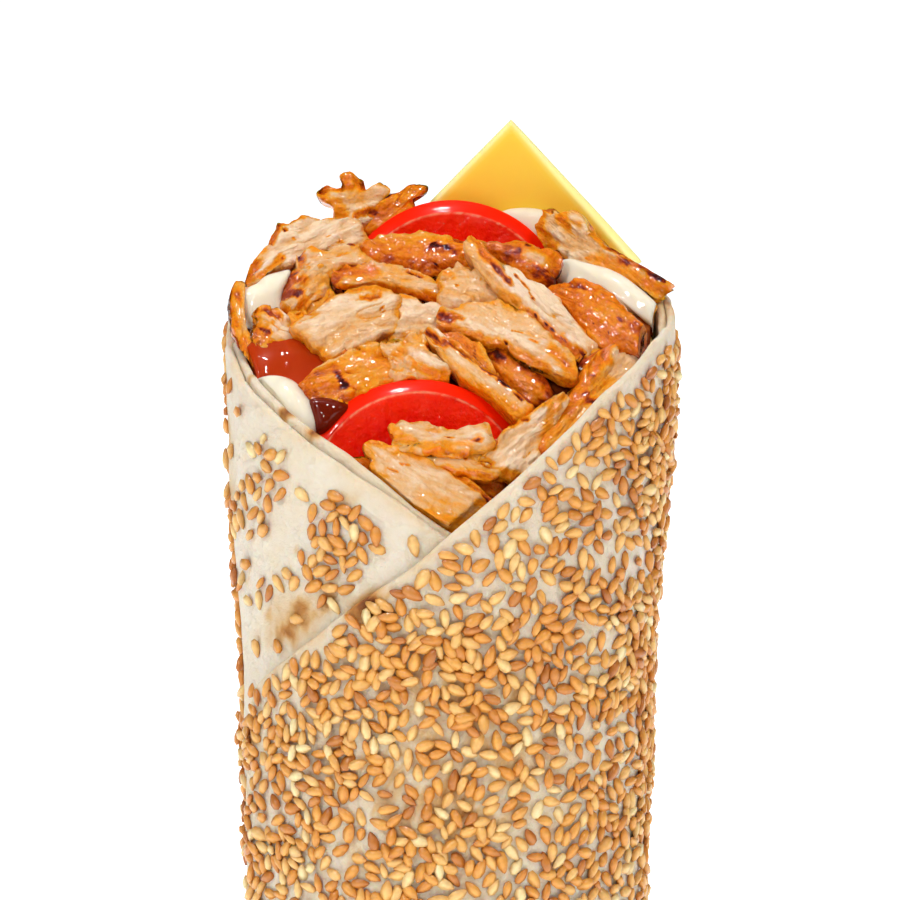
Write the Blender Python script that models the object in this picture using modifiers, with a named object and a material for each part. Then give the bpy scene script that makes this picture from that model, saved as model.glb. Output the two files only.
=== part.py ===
"""Rolled chicken doner sandwich, standing upright on its tucked end with the crossed flaps facing -Y.

A sesame flatbread and a plain inner flatbread are rolled round a heap of sliced chicken, two
tomato slices, a cheese slice, mayonnaise and red sauce. All lengths are in metres, +Z is up.
"""
import math

import bmesh
import bpy
import numpy as np
from mathutils import Matrix, Vector

MM = 0.001
CLEARANCE = 0.35 * MM            # air left between two pieces that touch
FULL_TURN = 360.0

# Shape of the whole roll: (height, outer radius) and (height, sideways shift of the axis), in mm
ROLL_RADIUS = (
    (10.2, 29.6), (20, 30.4), (40, 31.2), (60, 31.8), (82, 32.2), (100, 32.6), (120, 33.2),
    (135, 33.9), (150, 35.0), (160, 35.7), (170, 36.2), (180, 36.1), (190, 36.0),
)
ROLL_SHIFT = ((82, -0.9), (120, -0.6), (155, -0.2), (170, 0.0))
CROSSING_HEIGHT = 149.0 * MM     # floor to the point where the two flaps cross
COLUMN_STEP = 10.0               # degrees of roll between two columns of the sheets
FIRST_ANGLE = 60.0               # both breads start here, to the right of the front, out of sight

# Tucked end
CORNER_RADIUS = 8.0 * MM
CORNER_CENTRE_HEIGHT = 10.2 * MM
CORNER_STEPS = (75.0, 50.0, 25.0)
FOOT_PROFILE = ((0, 0), (24.5, 0), (25.4, 1.0), (25.84, 4.14), (28.0, 6.5), (28.9, 10.0), (0, 10.0))
FOOT_SIDES = 36

# Sheets: offset of the outer face from the roll radius and height of the top edge over the
# crossing, both in mm against the degrees rolled from the first angle
BREAD_THICKNESS = 1.3 * MM
SESAME_BREAD_TURN = 490.0
SESAME_BREAD_OFFSET = ((0, -1.45), (60, -0.8), (130, 0), (330, 0), (360, 0.2), (420, 0.85), (490, 1.65))
SESAME_BREAD_EDGE = (
    (0, -24), (6, -20), (20, -15), (40, -8), (55, -3), (62, -0.2), (72, 4.4), (80, 7.2), (88, 9.9),
    (99, 13), (104, 14.8), (112, 17.2), (135, 22.5), (147, 24.5), (160, 28), (175, 31), (200, 34),
    (240, 36), (270, 35), (290, 33), (310, 31), (330, 28.2), (341, 27.9), (355.5, 27.1),
    (365.3, 24), (379, 21), (387.5, 16.5), (396, 12.5), (404, 8.2), (415, 2.5), (420, 0),
    (424, -2.5), (431.5, -6.5), (440, -9.8), (449, -14), (457, -18.2), (475, -25.8), (482, -28.8),
    (487, -34), (490, -42),
)
INNER_BREAD_TURN = 350.0
INNER_BREAD_OFFSET = ((0, -3.1), (60, -2.45), (130, -1.65), (350, -1.65))
INNER_BREAD_EDGE = (
    (0, -10), (40, -6), (59, -0.5), (68, 3), (78.5, 7.8), (86.5, 11.2), (100.7, 15), (110.7, 17.9),
    (122.5, 20.8), (140, 23.6), (155, 27.5), (175, 33), (200, 35.5), (240, 37), (280, 36),
    (310, 33), (320, 30.5), (330, 27), (340, 22), (350, 16),
)
INNER_BREAD_BOTTOM = 10.6 * MM
SHEET_ROWS = (0.2, 0.4, 0.6, 0.8, 1.0)

# Filling room inside the breads, and the height of the heap against the distance from the axis
# towards the rear, in mm
ROOM_OFFSET = ((0, -4.75), (60, -4.1), (130, -3.3), (325, -3.3), (345, -4.75), (360, -4.75))
ROOM_BOTTOM = 10.6 * MM
HEAP_HEIGHT = (
    (-34, 146), (-30, 152), (-24, 160), (-16, 170), (-8, 176.5), (0, 180), (10, 184), (20, 187),
    (28, 189),
)
CORE_DEPTH = 3.5 * MM            # how far the plain core lies under the top of the heap
CORE_ROWS = (0.0, 0.35, 0.7, 1.0)
CORE_RINGS = (0.66, 0.33, 0.0)
CORE_COLUMN_STEP = 15.0

# The filling is laid out as it is seen from the front: across and up are measured square to a
# line of sight that comes down at this angle from this distance to a point on the axis
SIGHT_TILT = math.radians(12.0)
SIGHT_DISTANCE = 750.0 * MM
SIGHT_POINT = Vector((0.0, 0.0, 155.0 * MM))

# Chicken slices: across, up, back (mm), length, width, thickness (mm), turn, lean, yaw (degrees)
CHICKEN_SLICES = {
    "rear_shred": (-14.0, 38.5, 24.0, 15.0, 14.0, 4.0, 8, 20, 0),
    "rear_shred_tip": (-7.5, 41.0, 25.0, 9.0, 4.0, 3.5, 12, 20, 0),
    "rear_right": (25.8, 31.0, 13.5, 25.0, 9.5, 4.5, -31, 25, -28),
    "right_nugget": (32.0, 21.8, 6.0, 5.0, 4.5, 4.0, 0, 40, -20),
    "rear_left": (-23.0, 32.5, 13.0, 20.5, 9.5, 4.0, 16, 40, 15),
    "long_glazed": (1.0, 31.0, 11.0, 31.0, 8.0, 4.5, -3, 45, 0),
    "dark_chunk": (-23.5, 25.8, 4.0, 11.0, 9.5, 5.0, 60, 40, 20),
    "thin_strip": (-10.5, 26.5, 5.0, 18.0, 5.5, 4.0, -10, 45, 0),
    "fibrous_left": (-16.5, 20.0, -4.5, 18.5, 10.5, 4.5, 24, 40, 10),
    "middle_scrap": (-5.5, 20.5, -4.0, 8.0, 7.0, 4.0, -20, 45, 0),
    "lumpy_middle": (3.0, 25.0, 2.0, 10.5, 9.0, 4.0, -30, 45, 0),
    "long_right": (12.8, 24.0, -1.0, 27.5, 8.0, 4.0, -41, 40, -5),
    "pale_middle": (8.8, 17.5, -9.0, 24.0, 9.5, 4.0, -25, 45, -5),
    "glazed_right": (24.0, 21.3, -3.0, 18.5, 9.5, 4.5, -28, 40, -20),
    "dark_edged": (4.8, 11.6, -15.0, 20.5, 7.0, 4.5, -36, 40, -5),
    "shaded": (11.2, 11.3, -12.0, 12.0, 8.5, 4.0, -35, 40, -10),
    "brown_left": (-14.5, 12.5, -14.5, 20.0, 9.5, 4.5, 18, 35, 10),
    "middle_lumps": (-6.0, 14.2, -13.0, 10.0, 7.0, 4.5, 0, 40, 0),
    "spiky_left": (-27.0, 19.4, -5.0, 9.5, 7.5, 4.0, -42, 35, 30),
    "rim_left": (-33.3, 21.3, 1.0, 10.5, 3.6, 3.0, -72, 20, 40),
    "right_upright": (21.6, 7.2, -15.0, 29.0, 12.0, 5.0, 40, 35, 34),
    "right_lower": (11.0, 1.3, -24.0, 17.0, 9.5, 4.5, 44, 30, 15),
    "over_tomato": (-1.2, 1.1, -26.5, 17.0, 6.0, 3.0, -6, 35, 0),
    "front_strip": (2.8, -2.9, -27.5, 11.5, 5.0, 3.5, -12, 30, 0),
    "front_large": (-3.6, -5.6, -29.0, 21.0, 10.5, 4.0, -31, 25, 5),
}
SLICE_SIDES = 8
SLICE_RAGGEDNESS = 0.16
SLICE_INSET = 0.28
SLICE_CROWN = 0.6 * MM
SLICE_SEED = 11

# Tomato slices: across, up, back of the centre (mm), turn, lean, yaw (degrees)
TOMATO_RADIUS = 19.3 * MM
TOMATO_THICKNESS = 5.5 * MM
TOMATO_ROUNDING = 1.0 * MM
TOMATO_SIDES = 36
TOMATO_REAR = (0.3, 21.3, 21.0, 0, 8, 0)
TOMATO_FRONT = (-5.0, -8.5, -20.0, 0, 12, 4)

# Cheese slice: a square standing on one corner against the rear wall, slightly bent
CHEESE_HALF_DIAGONAL = 34.0 * MM
CHEESE_CORNER = Vector((10.4 * MM, 30.4 * MM, 203.5 * MM))
CHEESE_BEND_RADIUS = 75.0 * MM
CHEESE_THICKNESS = 2.2 * MM
CHEESE_STEPS = 6

# Sauces: across, up, back (mm), half length, half depth, half height (mm), turn, lean (degrees)
MAYONNAISE = {
    "mayonnaise_rear": (12.6, 36.8, 26.0, 3.6, 2.6, 3.2, 0, 0),
    "mayonnaise_left": (-29.6, 24.6, 2.5, 4.2, 3.2, 4.6, 30, 25),
    "mayonnaise_front": (-25.6, 7.8, -17.0, 4.4, 3.2, 4.4, -35, 20),
}
RED_SAUCE = {
    "red_sauce_pool": (-25.4, 14.2, -10.5, 6.8, 3.0, 3.4, -8, 45),
    "red_sauce_drip": (-19.4, 5.4, -18.5, 2.6, 2.4, 3.0, 0, 30),
}
BLOB_SIDES = 12
BLOB_RINGS = 7
MAYONNAISE_BAND_PATH = ((17.5, 29.2, 8.0), (23.0, 29.4, 7.5), (28.5, 27.0, 5.5), (32.3, 22.5, 1.5))
MAYONNAISE_BAND_RADII = (1.6, 2.6, 2.6, 1.7)

# Sesame seeds pressed into the outside of the flatbread
SEED_COUNT = 168
SEED_HALF_SIZES = (1.7 * MM, 1.0 * MM, 0.55 * MM)
SEED_SMALLEST = 0.85
SEED_LIFT = 0.12 * MM
SEED_SPACING = 8.4 * MM
SEED_LOWEST = 15.0 * MM
SEED_BARE_EDGE = 3.5 * MM
SEED_DRAWS = 60000
SEED_RANDOM = 7

COLOURS = {
    "sesame_flatbread": (0.79, 0.66, 0.47), "inner_flatbread": (0.80, 0.69, 0.52),
    "chicken": (0.68, 0.33, 0.12), "tomato": (0.75, 0.02, 0.004), "cheese": (1.0, 0.55, 0.06),
    "mayonnaise": (0.88, 0.80, 0.60), "red_sauce": (0.35, 0.02, 0.003),
}


def clear_scene():
    """Remove whatever the new file starts with."""
    for item in list(bpy.data.objects):
        bpy.data.objects.remove(item, do_unlink=True)


def new_collection(name, hidden=False):
    """Collection linked to the scene; a hidden one holds cutting tools."""
    group = bpy.data.collections.new(name)
    bpy.context.scene.collection.children.link(group)
    group.hide_render = hidden
    return group


def add_object(name, mesh, group):
    """Object for a finished mesh, put into a collection."""
    item = bpy.data.objects.new(name, mesh)
    group.objects.link(item)
    return item


def mesh_from(builder, name):
    """Blender mesh made from a bmesh, with its faces turned outwards."""
    bmesh.ops.recalc_face_normals(builder, faces=builder.faces)
    mesh = bpy.data.meshes.new(name)
    builder.to_mesh(mesh)
    builder.free()
    return mesh


def apply_modifiers(item):
    """Replace the mesh of an object by the result of its modifiers."""
    depsgraph = bpy.context.evaluated_depsgraph_get()
    finished = bpy.data.meshes.new_from_object(item.evaluated_get(depsgraph))
    item.modifiers.clear()
    item.data = finished


def combine(item, group, operation):
    """Join a whole collection to an object, or cut it away, and apply the result."""
    boolean = item.modifiers.new(operation.title(), "BOOLEAN")
    boolean.operand_type = "COLLECTION"
    boolean.collection = group
    boolean.operation = operation
    boolean.solver = "MANIFOLD"
    apply_modifiers(item)


def empty_collection(group):
    """Remove the objects of a collection that has done its work, and the collection."""
    for item in list(group.objects):
        bpy.data.objects.remove(item, do_unlink=True)
    bpy.data.collections.remove(group)


def keep_largest_body(item):
    """Drop the loose scraps that cutting can leave beside the main body."""
    builder = bmesh.new()
    builder.from_mesh(item.data)
    waiting = set(builder.verts)
    bodies = []
    while waiting:
        edge_of_body = [waiting.pop()]
        body = set(edge_of_body)
        while edge_of_body:
            corner = edge_of_body.pop()
            near = {edge.other_vert(corner) for edge in corner.link_edges} - body
            body |= near
            edge_of_body.extend(near)
        waiting -= body
        bodies.append(body)
    largest = max(bodies, key=len)
    scraps = [corner for corner in builder.verts if corner not in largest]
    bmesh.ops.delete(builder, geom=scraps, context="VERTS")
    builder.to_mesh(item.data)
    builder.free()


def lookup(table, where):
    """Straight-line reading of a table of (position, value) pairs."""
    return float(np.interp(where, [row[0] for row in table], [row[1] for row in table]))


def roll_radius(height):
    """Outer radius of the roll at a height."""
    return lookup(ROLL_RADIUS, height / MM) * MM


def on_roll(angle, radius, height):
    """Point at an angle round from the front (towards +X), a radius and a height."""
    shift = lookup(ROLL_SHIFT, height / MM) * MM
    turned = math.radians(angle)
    return Vector((shift + radius * math.sin(turned), -radius * math.cos(turned), height))


def mapped_grid(columns, rows, place):
    """Grid of quads whose corners are moved to place(column, row), with its seams merged."""
    builder = bmesh.new()
    bmesh.ops.create_grid(builder, x_segments=columns, y_segments=rows, size=1.0)
    for corner in builder.verts:
        column = round((corner.co.x + 1.0) / 2.0 * columns)
        row = round((corner.co.y + 1.0) / 2.0 * rows)
        corner.co = place(column, row)
    bmesh.ops.remove_doubles(builder, verts=builder.verts, dist=0.00001)
    return builder


def edge_height(table, turn):
    """Height of the top edge of a sheet after a number of degrees of roll."""
    return CROSSING_HEIGHT + lookup(table, turn) * MM


def sheet(name, group, turn, offsets, edges, corner_steps, bottom):
    """Rolled sheet of bread: outer face as a mapped grid, thickened inwards."""
    columns = round(turn / COLUMN_STEP)
    rows = len(corner_steps) + len(SHEET_ROWS)

    def place(column, row):
        rolled = column * COLUMN_STEP
        angle = FIRST_ANGLE - rolled
        offset = lookup(offsets, rolled) * MM
        if row < len(corner_steps):
            bend = math.radians(corner_steps[row])
            curve = CORNER_RADIUS + offset
            radius = roll_radius(bottom) - CORNER_RADIUS + curve * math.cos(bend)
            return on_roll(angle, radius, bottom - curve * math.sin(bend))
        share = ((0.0,) + SHEET_ROWS)[row - len(corner_steps)]
        height = bottom + share * (edge_height(edges, rolled) - bottom)
        return on_roll(angle, roll_radius(height) + offset, height)

    builder = mapped_grid(columns, rows, place)
    item = add_object(name, mesh_from(builder, name), group)
    face_outwards(item)
    solidify = item.modifiers.new("Thickness", "SOLIDIFY")
    solidify.thickness = BREAD_THICKNESS
    solidify.offset = -1.0
    solidify.use_even_offset = True
    apply_modifiers(item)
    return item


def face_outwards(item):
    """Turn an open sheet over if its faces look towards the axis of the roll."""
    face = max(item.data.polygons, key=lambda part: part.center.z)
    away = Vector((face.center.x, face.center.y, 0.0))
    if face.normal.dot(away) < 0.0:
        item.data.flip_normals()


def revolved(name, group, profile, sides):
    """Solid of revolution about the vertical axis."""
    builder = bmesh.new()
    shift = lookup(ROLL_SHIFT, 0.0) * MM
    corners = [builder.verts.new((radius * MM, 0.0, height * MM)) for radius, height in profile]
    lines = [builder.edges.new(pair) for pair in zip(corners, corners[1:])]
    bmesh.ops.spin(
        builder, geom=corners + lines, cent=(0.0, 0.0, 0.0), axis=(0.0, 0.0, 1.0),
        angle=math.tau, steps=sides, use_merge=True,
    )
    bmesh.ops.remove_doubles(builder, verts=builder.verts, dist=0.00001)
    bmesh.ops.translate(builder, verts=builder.verts, vec=(shift, 0.0, 0.0))
    return add_object(name, mesh_from(builder, name), group)


def seed_is_exposed(turn, height):
    """True where the outermost wind of bread is the one at this many degrees of roll."""
    if turn > SESAME_BREAD_TURN - FULL_TURN:
        return True
    return height > edge_height(SESAME_BREAD_EDGE, turn + FULL_TURN) + SEED_BARE_EDGE


def seed_places():
    """Seeded draw of well-spaced places for the seeds, as (degrees rolled, height) pairs."""
    draw = np.random.default_rng(SEED_RANDOM)
    places = []
    points = []
    for _ in range(SEED_DRAWS):
        turn = draw.uniform(0.0, SESAME_BREAD_TURN - SEED_BARE_EDGE / MM)
        height = draw.uniform(SEED_LOWEST, CROSSING_HEIGHT + 36.0 * MM)
        top = edge_height(SESAME_BREAD_EDGE, turn) - SEED_BARE_EDGE
        if height > top or not seed_is_exposed(turn, height):
            continue
        point = on_roll(FIRST_ANGLE - turn, roll_radius(height), height)
        if all((point - other).length > SEED_SPACING for other in points):
            places.append((turn, height))
            points.append(point)
        if len(places) == SEED_COUNT:
            break
    return places


def sesame_seeds(group):
    """Largest seeds of the crust, each a flattened icosphere lying on the bread."""
    draw = np.random.default_rng(SEED_RANDOM + 1)
    for number, (turn, height) in enumerate(seed_places()):
        builder = bmesh.new()
        bmesh.ops.create_icosphere(builder, subdivisions=1, radius=1.0)
        size = draw.uniform(SEED_SMALLEST, 1.0)
        stretch = Matrix.Diagonal([half * size for half in SEED_HALF_SIZES] + [1.0])
        spin = Matrix.Rotation(draw.uniform(0.0, math.pi), 4, "Z")
        radius = roll_radius(height) + lookup(SESAME_BREAD_OFFSET, turn) * MM + SEED_LIFT
        angle = FIRST_ANGLE - turn
        stand = Matrix.Rotation(math.radians(angle), 4, "Z") @ Matrix.Rotation(math.pi / 2, 4, "X")
        place = Matrix.Translation(on_roll(angle, radius, height))
        bmesh.ops.transform(builder, verts=builder.verts, matrix=place @ stand @ spin @ stretch)
        name = f"seed_{number:03d}"
        add_object(name, mesh_from(builder, name), group)


def sesame_flatbread(parts):
    """Outer flatbread: rolled sheet, tucked end and seeds fused into one piece."""
    bread = sheet(
        "sesame_flatbread", parts, SESAME_BREAD_TURN, SESAME_BREAD_OFFSET, SESAME_BREAD_EDGE,
        CORNER_STEPS, CORNER_CENTRE_HEIGHT,
    )
    additions = new_collection("bread_additions")
    revolved("tucked_end", additions, FOOT_PROFILE, FOOT_SIDES)
    sesame_seeds(additions)
    combine(bread, additions, "UNION")
    empty_collection(additions)
    keep_largest_body(bread)
    return bread


def inner_flatbread(parts):
    """Plain second flatbread lining the first."""
    return sheet(
        "inner_flatbread", parts, INNER_BREAD_TURN, INNER_BREAD_OFFSET, INNER_BREAD_EDGE,
        (), INNER_BREAD_BOTTOM,
    )


def sight_point(across, up, back):
    """Point seen across and up from the line of sight, lying this far back from the axis (mm)."""
    ahead = Vector((0.0, math.cos(SIGHT_TILT), -math.sin(SIGHT_TILT)))
    above = Vector((0.0, math.sin(SIGHT_TILT), math.cos(SIGHT_TILT)))
    eye = SIGHT_POINT - SIGHT_DISTANCE * ahead
    ray = SIGHT_DISTANCE * ahead + across * MM * Vector((1.0, 0.0, 0.0)) + up * MM * above
    return eye + ray * ((back * MM - eye.y) / ray.y)


def pose(across, up, back, turn, lean, yaw=0.0):
    """Matrix that stands a piece facing the front, then turns, leans back and yaws it."""
    return (
        Matrix.Translation(sight_point(across, up, back))
        @ Matrix.Rotation(math.radians(yaw), 4, "Z")
        @ Matrix.Rotation(math.radians(-lean), 4, "X")
        @ Matrix.Rotation(math.radians(-turn), 4, "Y")
    )


def room_offset(turn):
    """Offset of the filling room's wall from the roll radius."""
    return lookup(ROOM_OFFSET, turn % FULL_TURN) * MM


def rim_height(turn):
    """Height of the highest bread edge at a number of degrees from the first angle."""
    turn = turn % FULL_TURN
    heights = [edge_height(SESAME_BREAD_EDGE, turn)]
    if turn <= SESAME_BREAD_TURN - FULL_TURN:
        heights.append(edge_height(SESAME_BREAD_EDGE, turn + FULL_TURN))
    if turn <= INNER_BREAD_TURN:
        heights.append(edge_height(INNER_BREAD_EDGE, turn))
    return max(heights)


def bread_room_cutter(tools):
    """Ring that fills everything outside the filling room up to the bread edges."""
    reach = 25.0 * MM
    columns = round(FULL_TURN / COLUMN_STEP)
    shares = (0.0, 0.34, 0.67, 1.0)
    section = len(shares) + 2

    def place(column, row):
        turn = column * COLUMN_STEP % FULL_TURN
        bottom = 0.5 * ROOM_BOTTOM
        top = rim_height(turn) + CLEARANCE
        row = row % section
        share = shares[row] if row < len(shares) else (1.0 if row == len(shares) else 0.0)
        height = bottom + share * (top - bottom)
        outwards = reach if row >= len(shares) else 0.0
        radius = roll_radius(height) + room_offset(turn) + outwards
        return on_roll(FIRST_ANGLE - turn, radius, height)

    builder = mapped_grid(columns, section, place)
    return add_object("bread_room", mesh_from(builder, "bread_room"), tools)


def heap_height(back):
    """Height of the top of the heap at a distance behind the axis."""
    return lookup(HEAP_HEIGHT, back / MM) * MM


def chicken_core(parts):
    """Plain body of the heap, filling the room up to a little under the slices."""
    columns = round(FULL_TURN / CORE_COLUMN_STEP)
    walls = len(CORE_ROWS)
    rows = walls + len(CORE_RINGS)

    def place(column, row):
        turn = column * CORE_COLUMN_STEP % FULL_TURN
        angle = FIRST_ANGLE - turn
        inset = 0.1 * MM
        if row == 0:
            return on_roll(angle, 0.0, ROOM_BOTTOM)
        rim = on_roll(angle, roll_radius(CROSSING_HEIGHT) + room_offset(turn), 0.0)
        if row <= walls:
            share = CORE_ROWS[row - 1]
            height = ROOM_BOTTOM + share * (heap_height(rim.y) - CORE_DEPTH - ROOM_BOTTOM)
            return on_roll(angle, roll_radius(height) + room_offset(turn) - inset, height)
        ring = CORE_RINGS[row - walls - 1]
        height = heap_height(rim.y * ring) - CORE_DEPTH
        return on_roll(angle, ring * (roll_radius(height) + room_offset(turn)), height)

    builder = mapped_grid(columns, rows, place)
    return add_object("chicken", mesh_from(builder, "chicken"), parts)


def chicken_slice(name, group, figures, draw):
    """One shaved slice: ragged rounded plate with a raised middle, behind its face."""
    across, up, back, length, width, thickness, turn, lean, yaw = figures
    builder = bmesh.new()
    made = bmesh.ops.create_circle(builder, cap_ends=True, radius=1.0, segments=SLICE_SIDES)
    for corner in made["verts"]:
        ragged = 1.0 + draw.uniform(-SLICE_RAGGEDNESS, SLICE_RAGGEDNESS)
        flat = Vector((corner.co.x * length, 0.0, corner.co.y * width)) * 0.5 * MM
        corner.co = flat * ragged
    face = builder.faces[:]
    grown = bmesh.ops.extrude_face_region(builder, geom=face)
    front = [part for part in grown["geom"] if isinstance(part, bmesh.types.BMFace)]
    corners = [part for part in grown["geom"] if isinstance(part, bmesh.types.BMVert)]
    bmesh.ops.translate(builder, verts=corners, vec=(0.0, -0.5 * thickness * MM, 0.0))
    rest = [corner for corner in builder.verts if corner not in set(corners)]
    bmesh.ops.translate(builder, verts=rest, vec=(0.0, 0.5 * thickness * MM, 0.0))
    bmesh.ops.inset_region(builder, faces=front, thickness=0.5 * width * SLICE_INSET * MM)
    middle = {corner for part in front for corner in part.verts}
    bmesh.ops.translate(builder, verts=list(middle), vec=(0.0, -SLICE_CROWN, 0.0))
    bmesh.ops.transform(builder, verts=builder.verts, matrix=pose(across, up, back, turn, lean, yaw))
    return add_object(name, mesh_from(builder, name), group)


def chicken(parts, tools):
    """Heap of chicken: core with the visible slices fused on, cut clear of its neighbours."""
    heap = chicken_core(parts)
    slices = new_collection("chicken_slices")
    draw = np.random.default_rng(SLICE_SEED)
    for name, figures in CHICKEN_SLICES.items():
        chicken_slice(name, slices, figures, draw)
    combine(heap, slices, "UNION")
    empty_collection(slices)
    combine(heap, tools, "DIFFERENCE")
    keep_largest_body(heap)
    return heap


def tomato_slice(name, group, figures, grow=0.0):
    """Round slice with rounded rims, facing the front before it is posed."""
    across, up, back, turn, lean, yaw = figures
    builder = bmesh.new()
    radius = TOMATO_RADIUS + grow
    bmesh.ops.create_cone(
        builder, cap_ends=True, segments=TOMATO_SIDES, radius1=radius, radius2=radius,
        depth=TOMATO_THICKNESS + 2.0 * grow,
    )
    rims = [edge for edge in builder.edges if len({round(c.co.z, 6) for c in edge.verts}) == 1]
    bmesh.ops.bevel(builder, geom=rims, offset=TOMATO_ROUNDING, segments=1, affect="EDGES")
    stand = Matrix.Rotation(math.pi / 2, 4, "X")
    matrix = pose(across, up, back, turn, lean, yaw) @ stand
    bmesh.ops.transform(builder, verts=builder.verts, matrix=matrix)
    return add_object(name, mesh_from(builder, name), group)


def cheese_slice(name, group, grow=0.0):
    """Square slice on its corner, bent about an upright axis in front of it."""
    reach = CHEESE_HALF_DIAGONAL + grow * math.sqrt(2.0)
    middle = CHEESE_CORNER - Vector((0.0, 0.0, CHEESE_HALF_DIAGONAL))

    def place(column, row):
        right = column / CHEESE_STEPS
        left = row / CHEESE_STEPS
        bend = (right - left) * reach / CHEESE_BEND_RADIUS
        sideways = CHEESE_BEND_RADIUS * math.sin(bend)
        forwards = CHEESE_BEND_RADIUS * (1.0 - math.cos(bend)) - grow
        return middle + Vector((sideways, -forwards, (right + left - 1.0) * reach))

    builder = mapped_grid(CHEESE_STEPS, CHEESE_STEPS, place)
    item = add_object(name, mesh_from(builder, name), group)
    face_outwards(item)
    solidify = item.modifiers.new("Thickness", "SOLIDIFY")
    solidify.thickness = CHEESE_THICKNESS + 2.0 * grow
    solidify.offset = -1.0
    solidify.use_even_offset = True
    apply_modifiers(item)
    return item


def sauce_blob(name, group, figures, grow=0.0):
    """Rounded lump of sauce resting on the heap."""
    across, up, back, half_length, half_depth, half_height, turn, lean = figures
    builder = bmesh.new()
    bmesh.ops.create_uvsphere(builder, u_segments=BLOB_SIDES, v_segments=BLOB_RINGS, radius=1.0)
    halves = [half * MM + grow for half in (half_length, half_depth, half_height)]
    matrix = pose(across, up, back, turn, lean) @ Matrix.Diagonal(halves + [1.0])
    bmesh.ops.transform(builder, verts=builder.verts, matrix=matrix)
    return add_object(name, mesh_from(builder, name), group)


def mayonnaise_band(name, group, grow=0.0):
    """Thick line of mayonnaise along the right of the heap, swept along a curve."""
    curve = bpy.data.curves.new(name, "CURVE")
    curve.dimensions = "3D"
    curve.bevel_depth = 1.0 * MM
    curve.bevel_resolution = 1
    curve.use_fill_caps = True
    curve.resolution_u = 3
    path = curve.splines.new("BEZIER")
    path.bezier_points.add(len(MAYONNAISE_BAND_PATH) - 1)
    for knot, where, radius in zip(path.bezier_points, MAYONNAISE_BAND_PATH, MAYONNAISE_BAND_RADII):
        knot.co = sight_point(*where)
        knot.radius = radius + grow / MM
        knot.handle_left_type = "AUTO"
        knot.handle_right_type = "AUTO"
    swept = add_object(name + "_path", curve, group)
    depsgraph = bpy.context.evaluated_depsgraph_get()
    builder = bmesh.new()
    builder.from_mesh(bpy.data.meshes.new_from_object(swept.evaluated_get(depsgraph)))
    bmesh.ops.remove_doubles(builder, verts=builder.verts, dist=0.00001)
    bpy.data.objects.remove(swept, do_unlink=True)
    return add_object(name, mesh_from(builder, name), group)


def filling_builders():
    """Pieces of the filling besides the chicken, in the order in which they keep their shape."""
    builders = {
        "tomato_slice_rear": lambda name, group, grow: tomato_slice(name, group, TOMATO_REAR, grow),
        "tomato_slice_front": lambda name, group, grow: tomato_slice(name, group, TOMATO_FRONT, grow),
        "cheese_slice": cheese_slice,
        "mayonnaise_right": mayonnaise_band,
    }
    for blobs in (MAYONNAISE, RED_SAUCE):
        for blob, figures in blobs.items():
            builders[blob] = lambda name, group, grow, kept=figures: sauce_blob(name, group, kept, grow)
    return builders


def filling(parts, tools):
    """Each piece cut clear of the bread and of those before it, then the chicken last."""
    for name, build in filling_builders().items():
        piece = build(name, parts, 0.0)
        combine(piece, tools, "DIFFERENCE")
        keep_largest_body(piece)
        build(name + "_room", tools, CLEARANCE)
    chicken(parts, tools)


def colour_parts(parts):
    """Give every piece its own plain material."""
    for item in parts.objects:
        kind = next(name for name in COLOURS if item.name.startswith(name))
        material = bpy.data.materials.new(item.name)
        material.use_nodes = True
        shader = material.node_tree.nodes["Principled BSDF"]
        shader.inputs["Base Color"].default_value = (*COLOURS[kind], 1.0)
        shader.inputs["Roughness"].default_value = 0.5
        item.data.materials.clear()
        item.data.materials.append(material)


def main():
    """Build the sandwich."""
    clear_scene()
    parts = new_collection("doner_sandwich")
    tools = new_collection("cutting_tools", hidden=True)
    sesame_flatbread(parts)
    inner_flatbread(parts)
    bread_room_cutter(tools)
    filling(parts, tools)
    for tool in tools.objects:
        tool.display_type = "WIRE"
        tool.hide_render = True
    colour_parts(parts)


main()
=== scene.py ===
"""Looks of the rolled chicken doner sandwich: bread, sesame seeds, filling, floor, light and camera.

Lengths are in metres unless a name or comment says millimetres. +Z is up and -Y is the front.
A turn is the number of degrees a bread sheet has rolled from its first edge.
"""
import math
from functools import partial

import bpy
import numpy as np
from bpy.props import FloatProperty, FloatVectorProperty, IntProperty, PointerProperty
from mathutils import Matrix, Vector


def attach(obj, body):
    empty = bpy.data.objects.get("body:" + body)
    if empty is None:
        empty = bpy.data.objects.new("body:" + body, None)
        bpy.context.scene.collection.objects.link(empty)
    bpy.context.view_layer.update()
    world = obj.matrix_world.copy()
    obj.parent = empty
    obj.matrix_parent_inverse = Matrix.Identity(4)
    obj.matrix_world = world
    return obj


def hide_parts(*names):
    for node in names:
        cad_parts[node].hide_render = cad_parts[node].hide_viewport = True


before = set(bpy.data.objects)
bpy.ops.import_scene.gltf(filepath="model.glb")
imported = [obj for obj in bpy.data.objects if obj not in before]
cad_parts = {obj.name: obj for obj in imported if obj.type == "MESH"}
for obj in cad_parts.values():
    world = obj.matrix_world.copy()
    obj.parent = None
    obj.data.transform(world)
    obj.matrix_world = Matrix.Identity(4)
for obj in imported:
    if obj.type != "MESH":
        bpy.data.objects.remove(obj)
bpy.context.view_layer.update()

bl_info = {
    "name": "Doner Sandwich",
    "version": (1, 0, 0),
    "blender": (4, 5, 0),
    "location": "3D View > Sidebar > Doner",
    "description": "Builds the looks of a rolled doner sandwich over its CAD frame",
    "category": "Object",
}

MM = 0.001

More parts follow.
